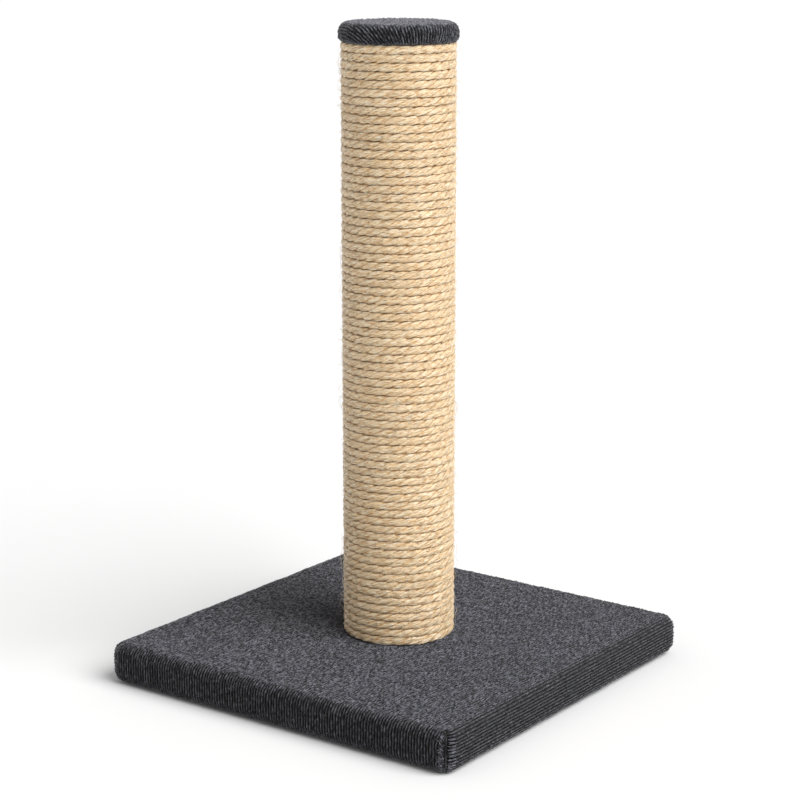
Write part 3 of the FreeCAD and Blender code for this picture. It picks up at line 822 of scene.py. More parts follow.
@dataclass
class SquareCover:
    """Maps flat cloth onto a square board with rounded corners, cut out at its corners."""

    fold: Fold
    corner: float = 2.5 * MM  # corner radius of the flat top
    seam_reach: float = 0.997  # share of each corner's half that a flap covers
    seam_width: float = 1.2 * MM  # over which the face sinks towards a seam

    @property
    def straight(self) -> float:
        """From the middle to where a corner starts."""
        return self.fold.flat_half - self.corner

    def place(self, u: Points, v: Points) -> tuple[Points, Points, Points]:
        """Finds where cloth lies.

        Args:
            u: across the ribs, on the flat cloth.
            v: along the ribs, on the flat cloth.

        Returns:
            The places, the outward normals, and the distance across the ribs.
        """
        over_y = np.abs(v) >= np.abs(u)
        along, across = np.minimum(np.abs(u), np.abs(v)), np.maximum(np.abs(u), np.abs(v))
        travelled = np.maximum(across - self.fold.flat_half, 0)
        out, height, way_out, way_up = self.fold.at(travelled)
        level = np.clip(across - self.straight, 0, self.corner)
        share = np.clip((along - self.straight) / np.maximum(level, TINY), 0, 1)
        share = np.where(level > 0, share, 0)
        angle = share * math.pi / 4 * self.seam_reach
        radius = level + np.maximum(out, 0)
        centre = self.straight - np.maximum(-out, 0)
        near_edge = np.minimum(along, self.straight) * (centre / self.straight)
        near_edge = near_edge + radius * np.sin(angle)
        on_top = level <= 0
        near = np.where(on_top, along, near_edge)
        far = np.where(on_top, across, centre + radius * np.cos(angle))
        sign_u, sign_v = np.where(u < 0, -1.0, 1.0), np.where(v < 0, -1.0, 1.0)
        x = np.where(over_y, near, far) * sign_u
        y = np.where(over_y, far, near) * sign_v
        side, front = way_out * np.sin(angle), way_out * np.cos(angle)
        normal = np.column_stack(
            [
                np.where(over_y, side, front) * sign_u,
                np.where(over_y, front, side) * sign_v,
                way_up,
            ]
        )
        surface = np.minimum(along, self.straight) + radius * angle
        ribs = np.where(over_y & ~on_top, surface, np.abs(u)) * sign_u
        return np.column_stack([x, y, height]), normal, ribs

    def seam_dip(self, u: Points, v: Points) -> Points:
        """How far the face sinks towards the seams at the corners.

        Args:
            u: across the ribs, on the flat cloth.
            v: along the ribs, on the flat cloth.

        Returns:
            The depth of each place below its rib.
        """
        edge = self.fold.flat_half
        beyond = np.maximum(np.maximum(np.abs(u), np.abs(v)) - edge, 0)
        out, _, _, _ = self.fold.at(beyond)
        near = edge - np.minimum(np.abs(u), np.abs(v))
        share = np.clip(near / self.corner, 0, 1)
        away = share * math.pi / 4 * (self.corner + np.maximum(out, 0))
        dip = SEAM_DEPTH * np.clip(1 - away / self.seam_width, 0, 1) ** 1.5
        return np.where(beyond > 0, dip, 0)


@dataclass
class RoundCover:
    """Maps flat cloth onto a round board; the cloth gathers as it goes under."""

    fold: Fold
    turn: float = math.radians(58)  # how the ribs are turned from the base's

    def place(self, u: Points, v: Points) -> tuple[Points, Points, Points]:
        """Finds where cloth lies.

        Args:
            u: across the ribs, on the flat cloth.
            v: along the ribs, on the flat cloth.

        Returns:
            The places, the outward normals, and the distance across the ribs.
        """
        reach = np.hypot(u, v)
        safe = np.maximum(reach, TINY)
        cosine, sine = math.cos(self.turn), math.sin(self.turn)
        way_x = (u * cosine - v * sine) / safe
        way_y = (u * sine + v * cosine) / safe
        flat_half = self.fold.flat_half
        travelled = np.maximum(reach - flat_half, 0)
        out, height, way_out, way_up = self.fold.at(travelled)
        radius = np.where(reach > flat_half, flat_half + out, reach)
        points = np.column_stack([way_x * radius, way_y * radius, height])
        normal = np.column_stack([way_x * way_out, way_y * way_out, way_up])
        return points, normal, u

    def seam_dip(self, u: Points, v: Points) -> Points:
        """A round cover has no seam."""
        return np.zeros(len(u))


@dataclass
class RibProfile:
    """The rounded ribs of the carpet's face."""

    pitch: float = 2.35 * MM
    depth: float = 1.6 * MM
    proud: float = -0.25 * MM  # crowns above the plain surface
    roundness: float = 0.8  # power of the sine across a rib; 1 is a plain sine
    lump: float = 0.16  # change of the crowns along each rib, as a share
    lump_lengths: tuple[float, float] = (3 * MM, 9 * MM)
    rib_shift: float = 2.7 * MM  # from one rib's lumps to the next one's
    rib_edge: float = 1e-6  # keeps a place on a rib's first edge on that rib
    crown_limits: Span = (0.55, 1.15)
    swell: float = 0.09 * MM  # of the whole cloth
    swell_lengths: tuple[float, float] = (26 * MM, 34 * MM)
    seed: int = 5

    def __post_init__(self) -> None:
        """Draws the lumps and the swell."""
        self.lumps = Waves(self.seed, self.lump_lengths, 14)
        self.swells = Waves(self.seed + 1, self.swell_lengths, 8)

    def height(self, ribs: Points, u: Points, v: Points) -> tuple[Points, Points]:
        """The relief of the carpet's face.

        Args:
            ribs: distance across the ribs on the surface.
            u: across the ribs, on the flat cloth.
            v: along the ribs, on the flat cloth.

        Returns:
            The height over the plain surface, and how near a rib's crown each place is.
        """
        phase = ribs / self.pitch
        crown = np.abs(np.sin(math.pi * phase)) ** self.roundness
        number = np.floor(phase + self.rib_edge)
        lumps = self.lumps.at(number * self.rib_shift, v)
        crown = crown * np.clip(1 + self.lump * lumps, *self.crown_limits)
        height = self.proud - self.depth * (1 - crown) + self.swell * self.swells.at(u, v)
        return height, np.clip(crown, 0, 1)


@dataclass
class RibbedSheet:
    """A carpet: ribbed face, plain back and a wall round its cut edges, all one solid."""

    name: str
    cover: SquareCover | RoundCover
    columns: Points  # places across the ribs, for the face
    rows: Points  # places along the ribs, for the face
    thickness: float
    ribs: RibProfile
    painted_top_light: float  # painted light on its top, as a brightness
    painted_side_shade: float  # painted shade on its sides, as a brightness
    step: int = 4  # face columns and rows to one of the back
    top_groove: float = 0.4  # painted shade in the grooves where they face up
    side_groove: float = 0.9  # what is added to it on the sides
    back_crown: float = 0.5  # what its back and its cut edges have for a crown

    def build(self) -> bpy.types.Object:
        """Makes the carpet.

        Returns:
            The piece, with its own map of the flat cloth, its ribs' crowns, which carry
            painted groove shade, and its painted light by facing.
        """
        bm = bmesh.new()
        self._layer(bm, self.columns, self.rows, 0.0)
        few = slice(None, None, self.step)
        self._layer(bm, self.columns[few], self.rows[few], -self.thickness)
        edges = [e for e in bm.edges if e.is_boundary and e.verts[0].co.z < 0]
        cuts = self.step - 1
        bmesh.ops.subdivide_edges(bm, edges=edges, cuts=cuts, use_grid_fill=False)
        bmesh.ops.bridge_loops(bm, edges=[e for e in bm.edges if e.is_boundary])
        mesh = mesh_from(self.name, bm)
        flat = read_points(mesh)
        face = flat[:, 2] > -self.thickness / 2
        u, v = self._spread(flat[:, 0], flat[:, 1])
        points, normals, ribs = self.cover.place(u, v)
        height, crown = self.ribs.height(ribs, u, v)
        dip = self.cover.seam_dip(u, v)
        steep = np.sqrt(np.clip(1 - normals[:, 2] ** 2, 0, 1))
        # Painted shade in the grooves between the ribs, less where they face up as light
        # reaches deeper there; the seams' dip is painted darker too.
        groove = (1 - crown) * (self.top_groove + self.side_groove * steep)
        crown = np.clip(1 - groove, 0, 1) * (1 - dip / SEAM_DEPTH)
        lift = np.where(face, height - dip, -self.thickness)
        write_points(mesh, points + normals * lift[:, None])
        add_values(mesh, "cloth", np.column_stack([ribs, v, np.zeros(len(u))]))
        add_values(mesh, "crown", np.where(face, crown, self.back_crown))
        # Painted light on the top and painted shade on the sides, by how steep the face is.
        shade = self.painted_top_light + (self.painted_side_shade - self.painted_top_light) * steep
        add_values(mesh, "dust_and_painted_light", shade)
        close_outwards(mesh)
        return new_piece(self.name, mesh)

    def _layer(
        self, bm: bmesh.types.BMesh, columns: Points, rows: Points, level: float
    ) -> None:
        """Adds one flat layer whose lines of vertices stand at the given places."""
        made = bmesh.ops.create_grid(
            bm, x_segments=len(columns) - 1, y_segments=len(rows) - 1, size=0.5
        )
        verts = made["verts"]
        for vert in verts:
            column = round((vert.co.x + 0.5) * (len(columns) - 1))
            row = round((vert.co.y + 0.5) * (len(rows) - 1))
            vert.co = Vector((columns[column], rows[row], level))
        faces = {f for v in verts for f in v.link_faces}
        gone = [f for f in faces if self._is_cut(f.calc_center_median())]
        if gone:
            bmesh.ops.delete(bm, geom=gone, context="FACES")

    def _is_cut(self, centre: Vector) -> bool:
        """Whether a face of the flat cloth lies in a notch that is cut out of it."""
        if isinstance(self.cover, RoundCover):
            return False
        edge = self.cover.fold.flat_half
        return abs(centre.x) > edge and abs(centre.y) > edge

    def _spread(self, u: Points, v: Points) -> tuple[Points, Points]:
        """For a round cloth, gives each line of vertices the length of its chord."""
        if isinstance(self.cover, SquareCover):
            return u, v
        reach = self.columns[-1] + CLOTH_END
        return u, v / reach * np.sqrt(np.maximum(reach**2 - u**2, 0))


@dataclass(frozen=True)
class Tuft:
    """How the loose fibres of one patch lie. Lengths in millimetres."""

    length: Span
    thick: Span
    slant: float  # spread of their direction
    scatter: float  # spread across a rib, in pitches
    lift: Span
    shade: tuple[float, float]  # the two numbers of its beta distribution
    gain: float = 1.0  # painted light: it raises the shade, so the cap's fibres come out paler


LONG_TUFT = Tuft((2.5, 6.0), (0.28, 0.5), 0.2, 0.17, (-0.2, 0.2), (0.62, 1.0))
SHORT_TUFT = Tuft((0.8, 2.4), (0.22, 0.46), 0.4, 0.25, (-0.3, 0.1), (0.45, 2.1))
SEAM_TUFT = Tuft((1.0, 2.0), (0.3, 0.55), 0.5, 0.12, (-0.2, 0.25), (1.3, 1.0))
# The cap's top fibres are drawn pale and raised, and its rim's raised a little: painted
# light on the cap.
CAP_TUFT = Tuft((2.0, 5.0), (0.26, 0.5), 0.3, 0.2, (-0.15, 0.1), (4.0, 2.2), 1.8)
RIM_TUFT = Tuft((2.0, 5.5), (0.26, 0.5), 0.22, 0.17, (-0.25, 0.15), (0.6, 1.6), 1.2)


@dataclass
class Pile:
    """Loose carpet fibres, lying on a cover along its ribs."""

    name: str
    cover: SquareCover | RoundCover
    ribs: RibProfile
    seed: int
    sink: float = 0.45  # most that a fibre's ends lie below its middle, in millimetres
    depth: float = 0.5 * MM  # how far below the crowns a fibre follows a groove

    def build(self, *patches: tuple[Points, Points, Tuft]) -> bpy.types.Object:
        """Makes the fibres of some patches.

        Args:
            patches: where the fibres' middles are, across and along the ribs on the flat
                cloth, and how they lie.

        Returns:
            The piece.
        """
        draw = np.random.default_rng(self.seed)
        lines, thick, shades = [], [], []
        for u, v, tuft in patches:
            lines.append(self._lines(draw, u, v, tuft))
            thick.append(draw.uniform(*tuft.thick, len(u)) * MM)
            shades.append(draw.beta(*tuft.shade, len(u)) * tuft.gain)
        joined = (np.concatenate(values) for values in (lines, thick, shades))
        return Fibres(self.name, *joined).build()

    def _lines(
        self, draw: np.random.Generator, u: Points, v: Points, tuft: Tuft
    ) -> Points:
        """The fibres' lines: each lies on its rib's crown."""
        count, pitch = len(u), self.ribs.pitch
        u = (np.floor(u / pitch) + 0.5 + draw.normal(0, tuft.scatter, count)) * pitch
        length = draw.uniform(*tuft.length, count) * MM
        slant = draw.normal(0.0, tuft.slant, count)
        bend = draw.normal(0.0, tuft.slant, count)
        top = draw.uniform(*tuft.lift, count) * MM
        line = []
        for part in ENDS_AND_MIDDLE:
            way = slant + bend * part
            across = u + np.sin(way) * part * length
            along = v + np.cos(way) * part * length
            points, normals, ribs = self.cover.place(across, along)
            height, _ = self.ribs.height(ribs, across, along)
            sunk = 0.0 if part == 0.0 else draw.uniform(0.0, self.sink, count) * MM
            lift = np.maximum(height, self.ribs.proud - self.depth) + top - sunk
            line.append(points + normals * lift[:, None])
        return np.stack(line, axis=1)


# --------------------------------------------------------------------------- sub-assemblies


def dress(
    piece: bpy.types.Object,
    material: bpy.types.Material,
    stands_for: Sequence[str] = (),
) -> bpy.types.Object:
    """Gives a piece its finish and its body, and hides the solids that it stands for.

    Args:
        piece: the piece.
        material: its material.
        stands_for: the solids that it replaces.

    Returns:
        The same piece.
    """
    piece.data.materials.clear()
    piece.data.materials.append(material)
    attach(piece, BODY)
    if stands_for:
        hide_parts(*stands_for)
    LOG.info("%s: %d faces", piece.name, len(piece.data.polygons))
    return piece


def steps(marks: Sequence[float], counts: Sequence[int]) -> Points:
    """Places along a line, symmetric about 0.

    Args:
        marks: where each run ends, from 0 out.
        counts: how many steps each run has.

    Returns:
        The places from one end to the other.
    """
    out = [0.0]
    for start, end, count in zip((0.0, *marks), marks, counts):
        out.extend(np.linspace(start, end, count + 1)[1:])
    half = np.array(out)
    return np.concatenate([-half[:0:-1], half])


@dataclass
class BaseCover:
    """The base's carpet with its seams and pile, and the liner under the board."""

    fold: Fold
    thickness: float = 2.6 * MM
    # Painted light on the top and painted shade on the sides, as brightnesses.
    painted_top_light: float = 1.0
    painted_side_shade: float = 0.58
    columns: tuple[int, int, int] = (240, 12, 116)  # over the flat, the corner and the fold
    rows: tuple[int, int, int] = (40, 4, 24)
    top_fibres: int = 9400  # on each half of the top
    side_fibres: int = 8100
    seam_fibres: int = 1300
    side_share: float = 0.62  # of the fold that the side fibres cover, from the top
    seam_share: Span = (0.1, 0.58)  # of the fold that the seam fibres cover
    seam_distance: Span = (0.45, 1.7)  # from the seam, in millimetres
    rope_clearance: float = 42.5 * MM  # round the post, without fibres
    liner_width: float = 230.6 * MM
    liner_thickness: float = 0.8 * MM
    liner_bottom: float = 2.3 * MM
    liner_corner: float = 4.0 * MM
    liner_hole: float = 14.0 * MM
    liner_ripple: float = 0.06 * MM
    liner_spokes: int = 144
    liner_rings: int = 16

    def __post_init__(self) -> None:
        """Sets up the cover's map and its ribs."""
        self.cover = SquareCover(self.fold)
        self.ribs = RibProfile()

    def build(self, carpet: bpy.types.Material, pile: bpy.types.Material) -> None:
        """Makes the carpet and its pile.

        Args:
            carpet: the carpet's material.
            pile: the material of its loose fibres.
        """
        edge, notch = self.fold.flat_half, self.fold.length
        marks = (self.cover.straight, edge, edge + notch)
        sheet = RibbedSheet(
            "base_carpet_ribbed",
            self.cover,
            steps(marks, self.columns),
            steps(marks, self.rows),
            self.thickness,
            self.ribs,
            self.painted_top_light,
            self.painted_side_shade,
        ).build()
        dress(sheet, carpet, ["base_carpet"])
        self._pile(pile)

    def _pile(self, material: bpy.types.Material) -> None:
        """Makes the pile of the top, of the sides and along the seams."""
        draw = np.random.default_rng(31)
        edge = self.fold.flat_half
        for name, low, high, seed in (
            ("base_pile_left", -edge, 0.0, 41),
            ("base_pile_right", 0.0, edge, 42),
        ):
            u = draw.uniform(low, high, self.top_fibres)
            v = draw.uniform(-edge, edge, self.top_fibres)
            clear = np.hypot(u, v) > self.rope_clearance
            pile = Pile(name, self.cover, self.ribs, seed)
            dress(pile.build((u[clear], v[clear], LONG_TUFT)), material)
        reach = self.fold.length * self.side_share
        side = edge + draw.uniform(0, reach, self.side_fibres)
        other = draw.uniform(-edge, edge, self.side_fibres)
        sides = self._either_way(draw, side, other)
        side = draw.uniform(*self.seam_share, self.seam_fibres) * self.fold.length
        close = edge - draw.uniform(*self.seam_distance, self.seam_fibres) * MM
        close = close * self._signs(draw, self.seam_fibres)
        seams = self._either_way(draw, edge + side, close)
        pile = Pile("base_pile_sides", self.cover, self.ribs, 43)
        piece = pile.build((*sides, SHORT_TUFT), (*seams, SEAM_TUFT))
        dress(piece, material)

    @staticmethod
    def _signs(draw: np.random.Generator, count: int) -> Points:
        """1 or -1 for each of some fibres."""
        return np.where(draw.random(count) < 0.5, -1.0, 1.0)

    def _either_way(
        self, draw: np.random.Generator, side: Points, other: Points
    ) -> tuple[Points, Points]:
        """Spreads places on one side flap over all four."""
        swap = draw.random(len(side)) < 0.5
        side = side * self._signs(draw, len(side))
        return np.where(swap, side, other), np.where(swap, other, side)

    def build_liner(self, material: bpy.types.Material) -> None:
        """Makes the liner: rings spread from the access hole to the rounded outline.

        Args:
            material: the liner's material.
        """
        bm = bmesh.new()
        bmesh.ops.create_circle(bm, segments=self.liner_spokes, radius=self.liner_hole)
        ring = bm.edges[:]
        for number in range(1, self.liner_rings + 1):
            spread = bmesh.ops.extrude_edge_only(bm, edges=ring)["geom"]
            ring = [g for g in spread if isinstance(g, bmesh.types.BMEdge)]
            ring = [e for e in ring if e.is_boundary]
            for vert in (g for g in spread if isinstance(g, bmesh.types.BMVert)):
                way = vert.co.normalized()
                width = self._liner_reach(way) - self.liner_hole
                vert.co = way * (self.liner_hole + width * number / self.liner_rings)
        for vert in bm.verts:
            vert.co.z = self.liner_bottom + self.liner_thickness
        bmesh.ops.recalc_face_normals(bm, faces=bm.faces)
        if bm.faces[:][0].normal.z < 0:
            bmesh.ops.reverse_faces(bm, faces=bm.faces)
        holder = new_piece("base_liner_flat", mesh_from("base_liner_flat", bm))
        thick = holder.modifiers.new("thickness", "SOLIDIFY")
        thick.thickness = self.liner_thickness
        thick.offset = -1
        mesh = take_mesh(holder)
        points = read_points(mesh)
        ripple = Waves(12, (40 * MM, 40 * MM), 9).at(points[:, 0], points[:, 1])
        points[:, 2] += self.liner_ripple * ripple
        write_points(mesh, points)
        liner = new_piece("base_liner_sheet", mesh)
        dress(liner, material, ["base_liner"])

    def _liner_reach(self, way: Vector) -> float:
        """From the middle to the liner's outline, in a direction."""
        half, corner = self.liner_width / 2, self.liner_corner
        x, y = abs(way.x), abs(way.y)
        reach = half / max(x, y)
        centre = half - corner
        if min(x, y) * reach <= centre:
            return reach
        along = centre * (x + y)
        return along + math.sqrt(max(along**2 - 2 * centre**2 + corner**2, 0.0))


@dataclass
class CapCover:
    """The cap's carpet and its pile."""

    fold: Fold
    thickness: float = 2.6 * MM
    # Painted light on the cap's top and painted shade on its sides, as brightnesses.
    painted_top_light: float = 2.6
    painted_side_shade: float = 0.95
    columns: int = 112  # from the middle to the cloth's end
    rows: int = 56
    top_fibres: int = 4200
    rim_fibres: int = 1900
    top_overlap: float = 3.0 * MM  # of the top's fibres over the upper edge
    rim_share: float = 0.6  # of the fold that the rim's fibres cover

    def build(self, carpet: bpy.types.Material, pile: bpy.types.Material) -> None:
        """Makes the carpet and its pile.

        Args:
            carpet: the carpet's material.
            pile: the material of its loose fibres.
        """
        cover = RoundCover(self.fold)
        ribs = RibProfile(proud=0.0, seed=15)
        reach = self.fold.flat_half + self.fold.length
        sheet = RibbedSheet(
            "cap_carpet_ribbed",
            cover,
            steps((reach - CLOTH_END,), (self.columns,)),
            steps((reach,), (self.rows,)),
            self.thickness,
            ribs,
            self.painted_top_light,
            self.painted_side_shade,
        ).build()
        dress(sheet, carpet, ["cap_carpet"])
        draw = np.random.default_rng(51)
        top = self.fold.flat_half + self.top_overlap
        rim = self.fold.flat_half + self.fold.length * self.rim_share
        patches = []
        for inner, outer, count, tuft in (
            (0.0, top, self.top_fibres, CAP_TUFT),
            (top, rim, self.rim_fibres, RIM_TUFT),
        ):
            radius = np.sqrt(draw.uniform(inner**2, outer**2, count))
            angle = draw.uniform(0, 2 * math.pi, count)
            patches.append((radius * np.cos(angle), radius * np.sin(angle), tuft))
        piece = Pile("cap_pile", cover, ribs, 52).build(*patches)
        dress(piece, pile)


@dataclass(frozen=True)
class RopeSkin:
    """Places on the rope's surface, with what its finish reads there."""

    points: Points
    lay: Points  # the place in the rope's own untwisted fibres
    crown: Points  # 0 in the groove between two strands and where rows meet, 1 on a strand; the finish paints shade by it
    tone: Points  # of each strand


@dataclass(frozen=True)
class Hair:
    """How the loose fibres of one kind are bowed over the rope. Lengths in millimetres."""

    name: str
    count: int
    seed: int
    length: Span
    stand: Span  # of their middles off the rope
    steep: float  # spread of their slope across the rope
    slope: float = 0.28
    curl: float = 0.35
    start: float = 2.2  # of their middles from the rope's line, up or down
    thick: Span = (0.09, 0.2)
    joints: int = 5


LYING_HAIRS = Hair("rope_hairs_lying", 2400, 81, (5, 16), (0.0, 0.3), 0.14)
LOOSE_HAIRS = Hair("rope_hairs_loose", 900, 82, (6, 20), (0.5, 3.2), 0.6)


@dataclass(frozen=True)
class Yarn:
    """Short bundles of fibres that lie in the strands' surface. Lengths in millimetres."""

    name: str = "rope_yarns_lying"
    count: int = 9400
    seed: int = 80
    length: Span = (2.5, 6.5)
    thick: Span = (0.25, 0.55)
    lift: Span = (-0.08, 0.12)
    sink: float = 0.12  # of their ends
    facing: float = 1.25  # most, round the rope from straight out
    stray: float = 0.012  # spread of their turn round the rope, per millimetre


@dataclass
class RopeWrap:
    """The sisal rope: three strands laid together and wound close on the tube.

    Each change is how far one thing varies from place to place, along waves of its own.
    """

    rows: int = 72
    turns_per_winding: int = 24
    pitch: float = 6.0 * MM
    path_radius: float = 38.0 * MM
    first_height: float = 34.1 * MM
    tube_radius: float = 35.0 * MM
    tube_gap: float = 0.04 * MM
    step_bearing: float = math.radians(126)
    start_turn: float = 0.25  # of the rope's lower end, past the step
    lay: float = 25.0 * MM
    strands: int = 3
    strand_offset: float = 0.88 * MM
    strand_radius: float = 2.3 * MM
    fullness: float = 3.3  # of the rope's face; 2 is round
    furrow: float = 0.6  # where the rows meet, as a share of the rope's reach
    furrow_blend: float = 0.14  # over which painted shade darkens a furrow
    flattening: float = 0.92  # of the rope, towards the tube
    half_row: float = 2.985 * MM
    row_softness: float = 0.1 * MM
    fibre_share: float = 0.62  # of the strands' twist that the fibres follow
    wound_middle: float = 247 * MM
    wound_half: float = 216 * MM
    sides: int = 24
    steps_per_turn: int = 164
    twist_change: float = 0.35
    girth_change: float = 0.035
    skin_change: float = 0.05 * MM
    radius_change: float = 0.10 * MM
    height_change: float = 0.22 * MM
    tone: float = 0.5  # of a strand, on average
    tone_change: float = 0.35
    row_shift: float = 2.1  # from one row's uneven places to the next one's
    girth_shift: float = 7.7  # the same from strand to strand
    tone_shift: float = 9.1
    valley_slope: float = 1.8  # of the shade between two strands
    valley_power: float = 0.8
    seam_crown: float = 0.05  # crown where two rows meet, so the most painted shade there
    hair_radius: float = 41.0 * MM  # at which a hair's length is laid out
    hair_reach: float = 3.1 * MM  # of the rope, from its line
    hair_groove: float = 0.9 * MM  # between two rows, where a hair dips
    hair_lift: float = 0.02 * MM
    hair_heights: Span = (31.6 * MM, 462.6 * MM)

    def __post_init__(self) -> None:
        """Draws the rope's uneven places: a seed, wavelengths and a count for each."""
        self.twist_waves = Waves(71, (160 * MM,), 8)
        self.girth_waves = Waves(72, (55 * MM, 1.3), 10)
        self.skin_waves = Waves(73, (5 * MM, 0.9), 12)
        self.radius_waves = Waves(74, (1.9, 3.3), 8)
        self.height_waves = Waves(75, (1.6, 45 * MM), 8)
        self.tone_waves = Waves(76, (90 * MM, 1.1), 9)

    @property
    def turns(self) -> float:
        """Of the rope in all: its last turn ends after its level half."""
        return self.rows - 0.5

    def centre(self, turn: Points) -> tuple[Points, Points]:
        """Follows the rope's line.

        Args:
            turn: turns from the rope's lower end.

        Returns:
            The bearing and the height of each place.
        """
        bearing = self.step_bearing - 2 * math.pi * (turn + self.start_turn)
        row = np.floor(turn)
        part = np.clip((turn - row - 0.5) * 2, 0, 1)
        rise = np.where(part < 0.5, 2 * part**2, 1 - 2 * (1 - part) ** 2)
        return bearing, self.first_height + (row + rise) * self.pitch

    def build(self, material: bpy.types.Material) -> None:
        """Makes the three windings.

        Args:
            material: the rope's material.
        """
        first = self.turns_per_winding - self.start_turn
        ends = (0.0, first, first + self.turns_per_winding, self.turns)
        for name, start, end in zip(("lower", "middle", "upper"), ends, ends[1:]):
            piece = self._winding("sisal_rope_" + name, start, end)
            dress(piece, material, ["rope_winding_" + name])

    def _winding(self, name: str, start: float, end: float) -> bpy.types.Object:
        """Makes one winding: a ring screwed round the post, then laid in strands."""
        bm = bmesh.new()
        bmesh.ops.create_circle(bm, segments=self.sides, radius=self.strand_radius)
        upright = Matrix.Rotation(math.pi / 2, 3, "X")
        bmesh.ops.rotate(bm, verts=bm.verts, cent=(0, 0, 0), matrix=upright)
        bmesh.ops.translate(bm, verts=bm.verts, vec=(self.path_radius, 0, 0))
        holder = new_piece(name + "_ring", mesh_from(name, bm))
        screw = holder.modifiers.new("winding", "SCREW")
        screw.axis = "Z"
        screw.iterations = 1
        screw.angle = -2 * math.pi * (end - start)
        screw.screw_offset = self.pitch * (end - start)
        screw.steps = round((end - start) * self.steps_per_turn) + 1
        screw.render_steps = screw.steps
        screw.use_normal_calculate = False
        mesh = take_mesh(holder)
        rings = len(mesh.vertices) // self.sides
        self._lay_strands(mesh, np.linspace(start, end, rings))
        close_outwards(mesh)
        return new_piece(name, mesh)

    def skin(self, turn: Points, around: Points, lift: Points | float = 0.0) -> RopeSkin:
        """Finds the rope's surface: strands laid together, pressed by their neighbours.

        Args:
            turn: turns from the rope's lower end.
            around: angle round the rope, in the frame that turns with its strands.
            lift: how far out of the surface.

        Returns:
            The places on the surface and what the finish reads there.
        """
        around = around % (2 * math.pi) + np.zeros_like(turn)
        along = turn * 2 * math.pi * self.path_radius + np.zeros_like(around)
        twist = self._twist(along)
        sector = 2 * math.pi / self.strands
        strand = np.floor(around / sector)
        off = around - (strand + 0.5) * sector
        reach = self._reach(along, around, off, strand)
        rise = np.sin(around - twist)
        full = (1 - np.abs(rise) ** self.fullness) ** (1 / self.fullness)
        full = np.maximum(full, self.furrow)
        outward = reach * np.sign(np.cos(around - twist)) * full
        upward = clamp_softly(reach * rise, self.half_row, self.row_softness)
        bearing, height = self.centre(turn)
        bearing, tall = bearing + np.zeros_like(upward), height + upward
        row = np.floor(turn) + np.zeros_like(upward)
        wander = self.radius_waves.at(bearing % (2 * math.pi), row * self.row_shift)
        radius = self.path_radius + outward * self.flattening
        radius = radius + self.radius_change * wander
        inner = self.tube_radius + self.tube_gap
        radius = np.maximum(radius, inner) + lift
        sway = self.height_waves.at(np.sin(bearing), tall)
        ends = np.clip(1 - ((tall - self.wound_middle) / self.wound_half) ** 4, 0, 1)
        tall = tall + self.height_change * sway * ends
        places = [radius * np.cos(bearing), radius * np.sin(bearing), tall]
        spun = around - self.fibre_share * twist
        lay = np.stack([along, reach * np.cos(spun), reach * np.sin(spun)], axis=-1)
        # The crown, for painted shade in the grooves between strands and where rows meet.
        valley = self.valley_slope * (1 - np.abs(off) / (sector / 2))
        seam = np.clip((full - self.furrow) / self.furrow_blend, self.seam_crown, 1)
        crown = np.clip(valley, 0, 1) ** self.valley_power * seam
        tones = self.tone_waves.at(along, strand * self.tone_shift)
        tone = np.clip(self.tone + self.tone_change * tones, 0, 1)
        return RopeSkin(np.stack(places, axis=-1), lay, crown, tone)

    def _reach(
        self, along: Points, around: Points, off: Points, strand: Points
    ) -> Points:
        """From the rope's line to the face of its strands, before they are pressed.

        Args:
            along: length along the rope.
            around: angle round the rope, in the frame that turns with its strands.
            off: the same angle, from the middle of the strand.
            strand: the strand's number.

        Returns:
            The distance of each place.
        """
        slow = self.girth_waves.at(along, strand * self.girth_shift)
        girth = self.strand_radius * (1 + self.girth_change * slow)
        beside = (self.strand_offset * np.sin(off)) ** 2
        reach = self.strand_offset * np.cos(off)
        reach = reach + np.sqrt(np.maximum(girth**2 - beside, 0))
        return reach + self.skin_change * self.skin_waves.at(along, around)

    def _twist(self, along: Points) -> Points:
        """How far the strands have turned at some length along the rope."""
        turned = 2 * math.pi * along / self.lay
        return turned + self.twist_change * self.twist_waves.at(along)

    def _lay_strands(self, mesh: bpy.types.Mesh, turn: Points) -> None:
        """Shapes a plain tube into laid strands and gives it the finish's attributes.

        Args:
            mesh: the tube, ring after ring.
            turn: the turn that each ring stands at.
        """
        around = 2 * math.pi * np.arange(self.sides) / self.sides
        skin = self.skin(turn[:, None], around[None, :])
        write_points(mesh, skin.points.reshape(-1, 3))
        add_values(mesh, "lay", skin.lay.reshape(-1, 3))
        add_values(mesh, "crown", skin.crown.ravel())
        add_values(mesh, "tone", skin.tone.ravel())

    def build_hairs(self, material: bpy.types.Material) -> None:
        """Makes the fibres that lie on the rope and those that stand off it.

        Args:
            material: the loose fibres' material.
        """
        dress(self._yarns(Yarn()), material)
        for kind in (LYING_HAIRS, LOOSE_HAIRS):
            dress(self._hairs(kind), material)

    def _yarns(self, kind: Yarn) -> bpy.types.Object:
        """Makes the bundles of fibres that lie in the strands' surface."""
        draw, count = np.random.default_rng(kind.seed), kind.count
        middle = draw.uniform(0.1, self.turns - 0.1, count)[:, None]
        length = draw.uniform(*kind.length, count)[:, None] * MM
        facing = draw.uniform(-kind.facing, kind.facing, count)[:, None]
        stray = draw.normal(0, kind.stray, count)[:, None] / MM
        part = np.array(ENDS_AND_MIDDLE)[None, :]
        round_post = 2 * math.pi * self.path_radius
        turn = middle + part * length / round_post
        here, there = self._twist(turn * round_post), self._twist(middle * round_post)
        around = facing + there + self.fibre_share * (here - there)
        around = around + stray * part * length
        sunk = np.where(part == 0.0, 0.0, kind.sink * MM)
        lift = draw.uniform(*kind.lift, count)[:, None] * MM - sunk
        skin = self.skin(turn, around, lift)
        thick = draw.uniform(*kind.thick, count) * MM
        return Fibres(kind.name, skin.points, thick, draw.random(count)).build()

